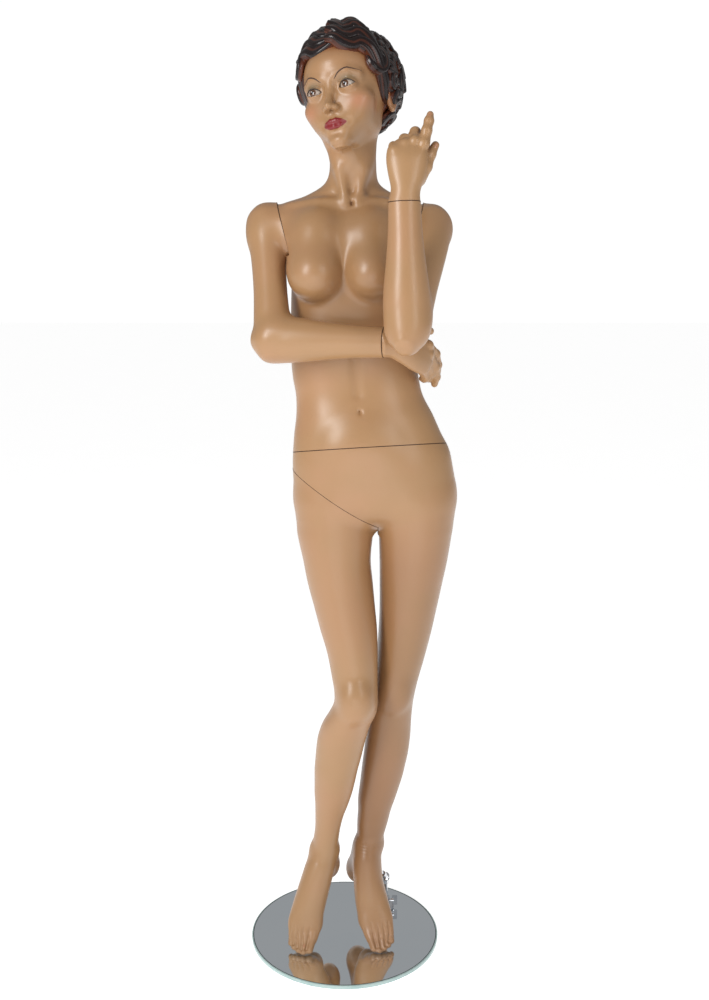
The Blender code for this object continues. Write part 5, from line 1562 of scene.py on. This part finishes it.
def build_head():
    """The head without its hair, in the head's frame, then moved into place."""
    clay = Clay((-0.088, -0.118, -0.150), (0.092, 0.112, 0.118), HEAD_CELL)
    clay.add(egg((0, 0.010, 0.028), (0.0715, 0.0900, 0.0780)))
    clay.add(column(FACE), 0.020)
    neck = column([row for row in TRUNK if row[0] > 1.44])
    clay.add(world_shape(neck, np.array([-0.07, -0.06, -0.150]), np.array([0.085, 0.085, 0.010])), 0.016)
    for side in SIGNS:
        clay.add(world_shape(neck_cord(side), np.array([-0.07, -0.08, -0.150]),
                             np.array([0.085, 0.085, -0.03])), 0.016)
    clay.add(egg((0, -0.0700, -0.0865), (0.0140, 0.0125, 0.0115)), 0.014)
    clay.add(egg((0, -0.0640, -0.0590), (0.0270, 0.0190, 0.0190)), 0.014)
    clay.add(egg((0, -0.0450, 0.0450), (0.0450, 0.0400, 0.0300)), 0.020)
    for side in SIGNS:
        clay.add(egg((side * 0.0395, -0.0120, -0.0500), (0.0110, 0.0280, 0.0200)), 0.024)
        clay.add(egg((side * 0.0445, -0.0540, -0.0230), (0.0180, 0.0170, 0.0140)), 0.022)
        clay.add(bones([(side * 0.0480, -0.0640, 0.0165, 0.0050), (side * 0.0330, -0.0760, 0.0215, 0.0055),
                        (side * 0.0130, -0.0805, 0.0170, 0.0050)]), 0.014)
        clay.add(egg((side * 0.0300, -0.0500, -0.0400), (0.0195, 0.0215, 0.0240)), 0.024)
        clay.carve(egg((side * 0.0310, -0.0975, 0.0020), (0.0165, 0.0140, 0.0115)), 0.016)
        clay.carve(egg((side * 0.0150, -0.0945, 0.0005), (0.0045, 0.0100, 0.0070)), 0.014)
    clay.add(bones([(0, -0.0765, 0.0170, 0.0060), (0, -0.0850, -0.0080, 0.0056),
                    (0, -0.0940, -0.0260, 0.0060), (0, -0.0985, -0.0325, 0.0070)]), 0.011)
    # Wings of the nose, nostrils, corners of the mouth, lips and eyes.
    for side in SIGNS:
        clay.add(egg((side * 0.0092, -0.0885, -0.0355), (0.0058, 0.0085, 0.0056)), 0.007)
    for side in SIGNS:
        clay.carve(egg((side * 0.0055, -0.0940, -0.0425), (0.0026, 0.0046, 0.0026)), 0.003)
        clay.carve(egg((side * 0.0260, -0.0850, MOUTH_Z), (0.0030, 0.0060, 0.0045)), 0.010)
    clay.carve(bones([(0, -0.0900, -0.0440, 0.0008), (0, -0.0915, -0.0510, 0.0008)]), 0.006)
    clay.carve(egg((0, -0.0890, -0.0745), (0.0130, 0.0060, 0.0040)), 0.012)
    clay.add(bones(LIP_UPPER, 0.002), 0.0026)
    clay.add(bones(LIP_LOWER, 0.002), 0.0026)
    clay.carve(bones(LIP_LINE), 0.0025)
    for side in SIGNS:
        x, y, z = side * EYE[0], EYE[1], EYE[2]
        clay.add(egg((x, y, z), (0.0154, 0.0149, 0.0146)), 0.006)
        clay.carve(bones([(x - 0.0135, y - 0.0085, z + 0.0082, 0.0005), (x, y - 0.0112, z + 0.0115, 0.0006),
                          (x + 0.0135, y - 0.0085, z + 0.0082, 0.0005)]), 0.0030)
        clay.carve(almond(side), 0.0006)
        ear(clay, side)
    up = TURN[2]
    clay.trim(lambda x, y, z: NECK_CUT - 0.008 - (up[0] * x + up[1] * y + up[2] * z + HEAD_CENTRE[2]))
    points, faces = clay.skin()
    return clay, to_mesh(from_head(points), faces)


def ear(clay, side):
    """An ear with its rim and hollow."""
    x = side * 0.0715
    clay.add(egg((x, 0.014, -0.010), (0.0070, 0.0150, 0.0270)), 0.006)
    rim = [(x + side * 0.003, 0.003, -0.004, 0.0026), (x + side * 0.005, 0.006, 0.012, 0.0028),
           (x + side * 0.007, 0.016, 0.019, 0.0030), (x + side * 0.009, 0.026, 0.010, 0.0030),
           (x + side * 0.007, 0.026, -0.008, 0.0028), (x + side * 0.005, 0.018, -0.024, 0.0032),
           (x + side * 0.003, 0.009, -0.035, 0.0050)]
    clay.add(bones(rim), 0.004)
    clay.carve(egg((x + side * 0.009, 0.013, -0.006), (0.0050, 0.0080, 0.0130)), 0.005)


def paint_head(mesh):
    """Distances and soft masks for the make-up, one value for each point."""
    local = to_head(points_of(mesh))
    x, y, z = local.T
    head = z > -0.14
    store_values(mesh, "lip_distance", np.where(head & (y < -0.055), lip_edge_distance(x, z), 1.0))

    def patches(out, height, wide, high):
        """A soft patch on each side of the face."""
        return sum(np.exp(-(((x - side * out) / wide) ** 2 + ((z - height) / high) ** 2)) for side in SIGNS)

    blush, lid = patches(0.047, -0.030, 0.017, 0.014), patches(0.0335, 0.0105, 0.0150, 0.0070)
    store_values(mesh, "tint_blush", np.where(head & (y < -0.02), blush * 0.30, 0))
    store_values(mesh, "tint_lid", np.where(head & (y < -0.045), lid * 0.62, 0))
    front = hair_front(x, y, z)
    nape = np.clip((z + 0.068) / 0.022, 0, 1)
    brown = np.exp(-np.maximum(front, 0) / 0.0070) * 0.85 * nape
    store_values(mesh, "tint_hairline", np.where(head, brown, 0))


# ---------------------------------------------------------------- floor, lights and camera

CAMERA_PLACE = (0.020, -2.197, 1.386)
CAMERA_DOWN = math.radians(12.10)
CAMERA_LENS = 42.64             # millimetres, on a sensor 36 mm wide
# Name, place, aim, size and watts.
LIGHTS = (("key_left", (-1.9, -2.2, 2.3), (0.0, 0.0, 1.1), (0.8, 1.8), 54.0),
          ("key_right", (1.7, -2.4, 2.2), (0.0, 0.0, 1.1), (0.8, 1.8), 15.0),
          ("fill_low", (0.0, -3.2, 0.5), (0.0, 0.0, 0.7), (2.4, 0.8), 9.0))
ROOM_LIGHT, ROOM_SEEN = 0.31, 1.02        # the white room as a light, and as the camera sees it


def area_light(name, place, aim, size, power):
    light = bpy.data.lights.new(name, "AREA")
    light.shape = "RECTANGLE"
    light.size, light.size_y = size
    light.energy = power
    item = new_object(name, light)
    item.location = place
    item.rotation_euler = (Vector(aim) - Vector(place)).to_track_quat("-Z", "Y").to_euler()


def build_studio():
    """A pale floor in a white room, three soft lights, and the photo's camera."""
    floor = bpy.data.meshes.new("floor")
    floor.from_pydata([(-12, -8, 0), (12, -8, 0), (12, 20, 0), (-12, 20, 0)], [], [(0, 1, 2, 3)])
    shade = Shader("pale_floor")
    pale = shade.mix(shade.noise(3.0, 3.0), (0.88, 0.88, 0.88), (0.84, 0.84, 0.84))
    shade.set(Base_Color=pale, Roughness=0.75)
    shade.set(Emission_Color=(1.0, 1.0, 1.0, 1.0), Emission_Strength=0.71)
    floor.materials.append(shade.item)
    item = new_object("floor", floor)
    world = bpy.data.worlds.new("studio")
    world.use_nodes = True
    nodes, links = world.node_tree.nodes, world.node_tree.links
    nodes["Background"].inputs["Color"].default_value = (1.0, 1.0, 1.0, 1.0)
    seen = nodes.new("ShaderNodeLightPath")
    level = nodes.new("ShaderNodeMapRange")
    for socket, value in zip(level.inputs[1:], (0.0, 1.0, ROOM_LIGHT, ROOM_SEEN)):
        socket.default_value = value
    links.new(seen.outputs["Is Camera Ray"], level.inputs[0])
    links.new(level.outputs[0], nodes["Background"].inputs["Strength"])
    scene = bpy.context.scene
    scene.world = world
    scene.view_settings.view_transform = "Standard"
    for light in LIGHTS:
        area_light(*light)
    camera = bpy.data.cameras.new("camera")
    camera.sensor_width = 36.0
    camera.lens = CAMERA_LENS
    camera.clip_end = 60.0
    item = new_object("camera", camera)
    item.location = CAMERA_PLACE
    item.rotation_euler = (math.pi / 2 - CAMERA_DOWN, 0.0, 0.0)
    scene.camera = item


def turned_piece(name, profile, look, body, stands_for=(), sides=256):
    """A ring or disc turned about the base's axis, from radius and height pairs."""
    work = bmesh.new()
    rings = []
    for radius, height in profile:
        if radius == 0:
            rings.append([work.verts.new((0, 0, height))])
        else:
            rings.append([work.verts.new((radius * math.cos(a), radius * math.sin(a), height))
                          for a in (2 * math.pi * k / sides for k in range(sides))])
    closed = profile[0][0] > 0
    for one, two in zip(rings, rings[1:] + rings[:1] if closed else rings[1:]):
        for k in range(sides):
            n = (k + 1) % sides
            corners = [one[k % len(one)], one[n % len(one)], two[n % len(two)], two[k % len(two)]]
            work.faces.new(list(dict.fromkeys(corners)))
    bmesh.ops.recalc_face_normals(work, faces=work.faces)
    return add_piece(name, from_bmesh(work), look, body, stands_for, sharp=30)


def build_base():
    """The round mirror: silvered middle, a dark line where the silver ends, painted as the reflection of the
    silver edge in the glass, and a polished glass edge.
    """
    low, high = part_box("base_disc")
    radius, bottom, top = high[0], low[2], high[2]
    silver, glass = radius - 0.0042, radius - 0.0026
    mirror = plain_material("mirror_silver", (0.90, 0.955, 1.0), (0.88, 0.94, 0.99), 0.02, 1.0, 6.0, 0.004)
    # Painted reflection: a dark ring stands for the silver edge reflected in the glass.
    line = plain_material("mirror_edge_dark_reflection", (0.030, 0.042, 0.046), (0.050, 0.062, 0.064), 0.15,
                          scale=90.0, bump=0.02)
    edge = plain_material("polished_glass_edge", (0.46, 0.60, 0.58), (0.36, 0.52, 0.50), 0.10,
                          scale=40.0, bump=0.03, coat=0.6)
    turned_piece("base_mirror", [(0, top), (silver, top), (silver, bottom), (0, bottom)], mirror, "base",
                 ("base_disc",))
    turned_piece("base_mirror_edge_reflection", [(silver, top), (glass, top), (glass, bottom), (silver, bottom)], line,
                 "base")
    turned_piece("base_glass_edge", [(glass, top), (radius - 0.0012, top), (radius - 0.0004, top - 0.0004),
                                     (radius, top - 0.0012), (radius, bottom + 0.0012),
                                     (radius - 0.0012, bottom), (glass, bottom)], edge, "base")


def dress_fittings():
    """Better materials for the CAD pieces that stay visible."""
    looks = [("pad", RUBBER), ("gasket", RUBBER), ("plate", PLATE), ("flange", CHROME), ("rod", CHROME),
             ("pin", CHROME), ("knob", CHROME), ("socket", BRUSHED), ("spigot", BRUSHED), ("key", BRUSHED),
             ("peg", BRUSHED)]
    for name, node in NODES.items():
        for word, look in looks:
            if word in name:
                node.data.materials.clear()
                node.data.materials.append(look)
                break


build_studio()
build_base()
dress_fittings()
build_lower_body()
build_bent_leg()
build_torso()
for arm_side in SIDES:
    build_arm(arm_side)
    build_hand(arm_side)

bpy.context.view_layer.update()
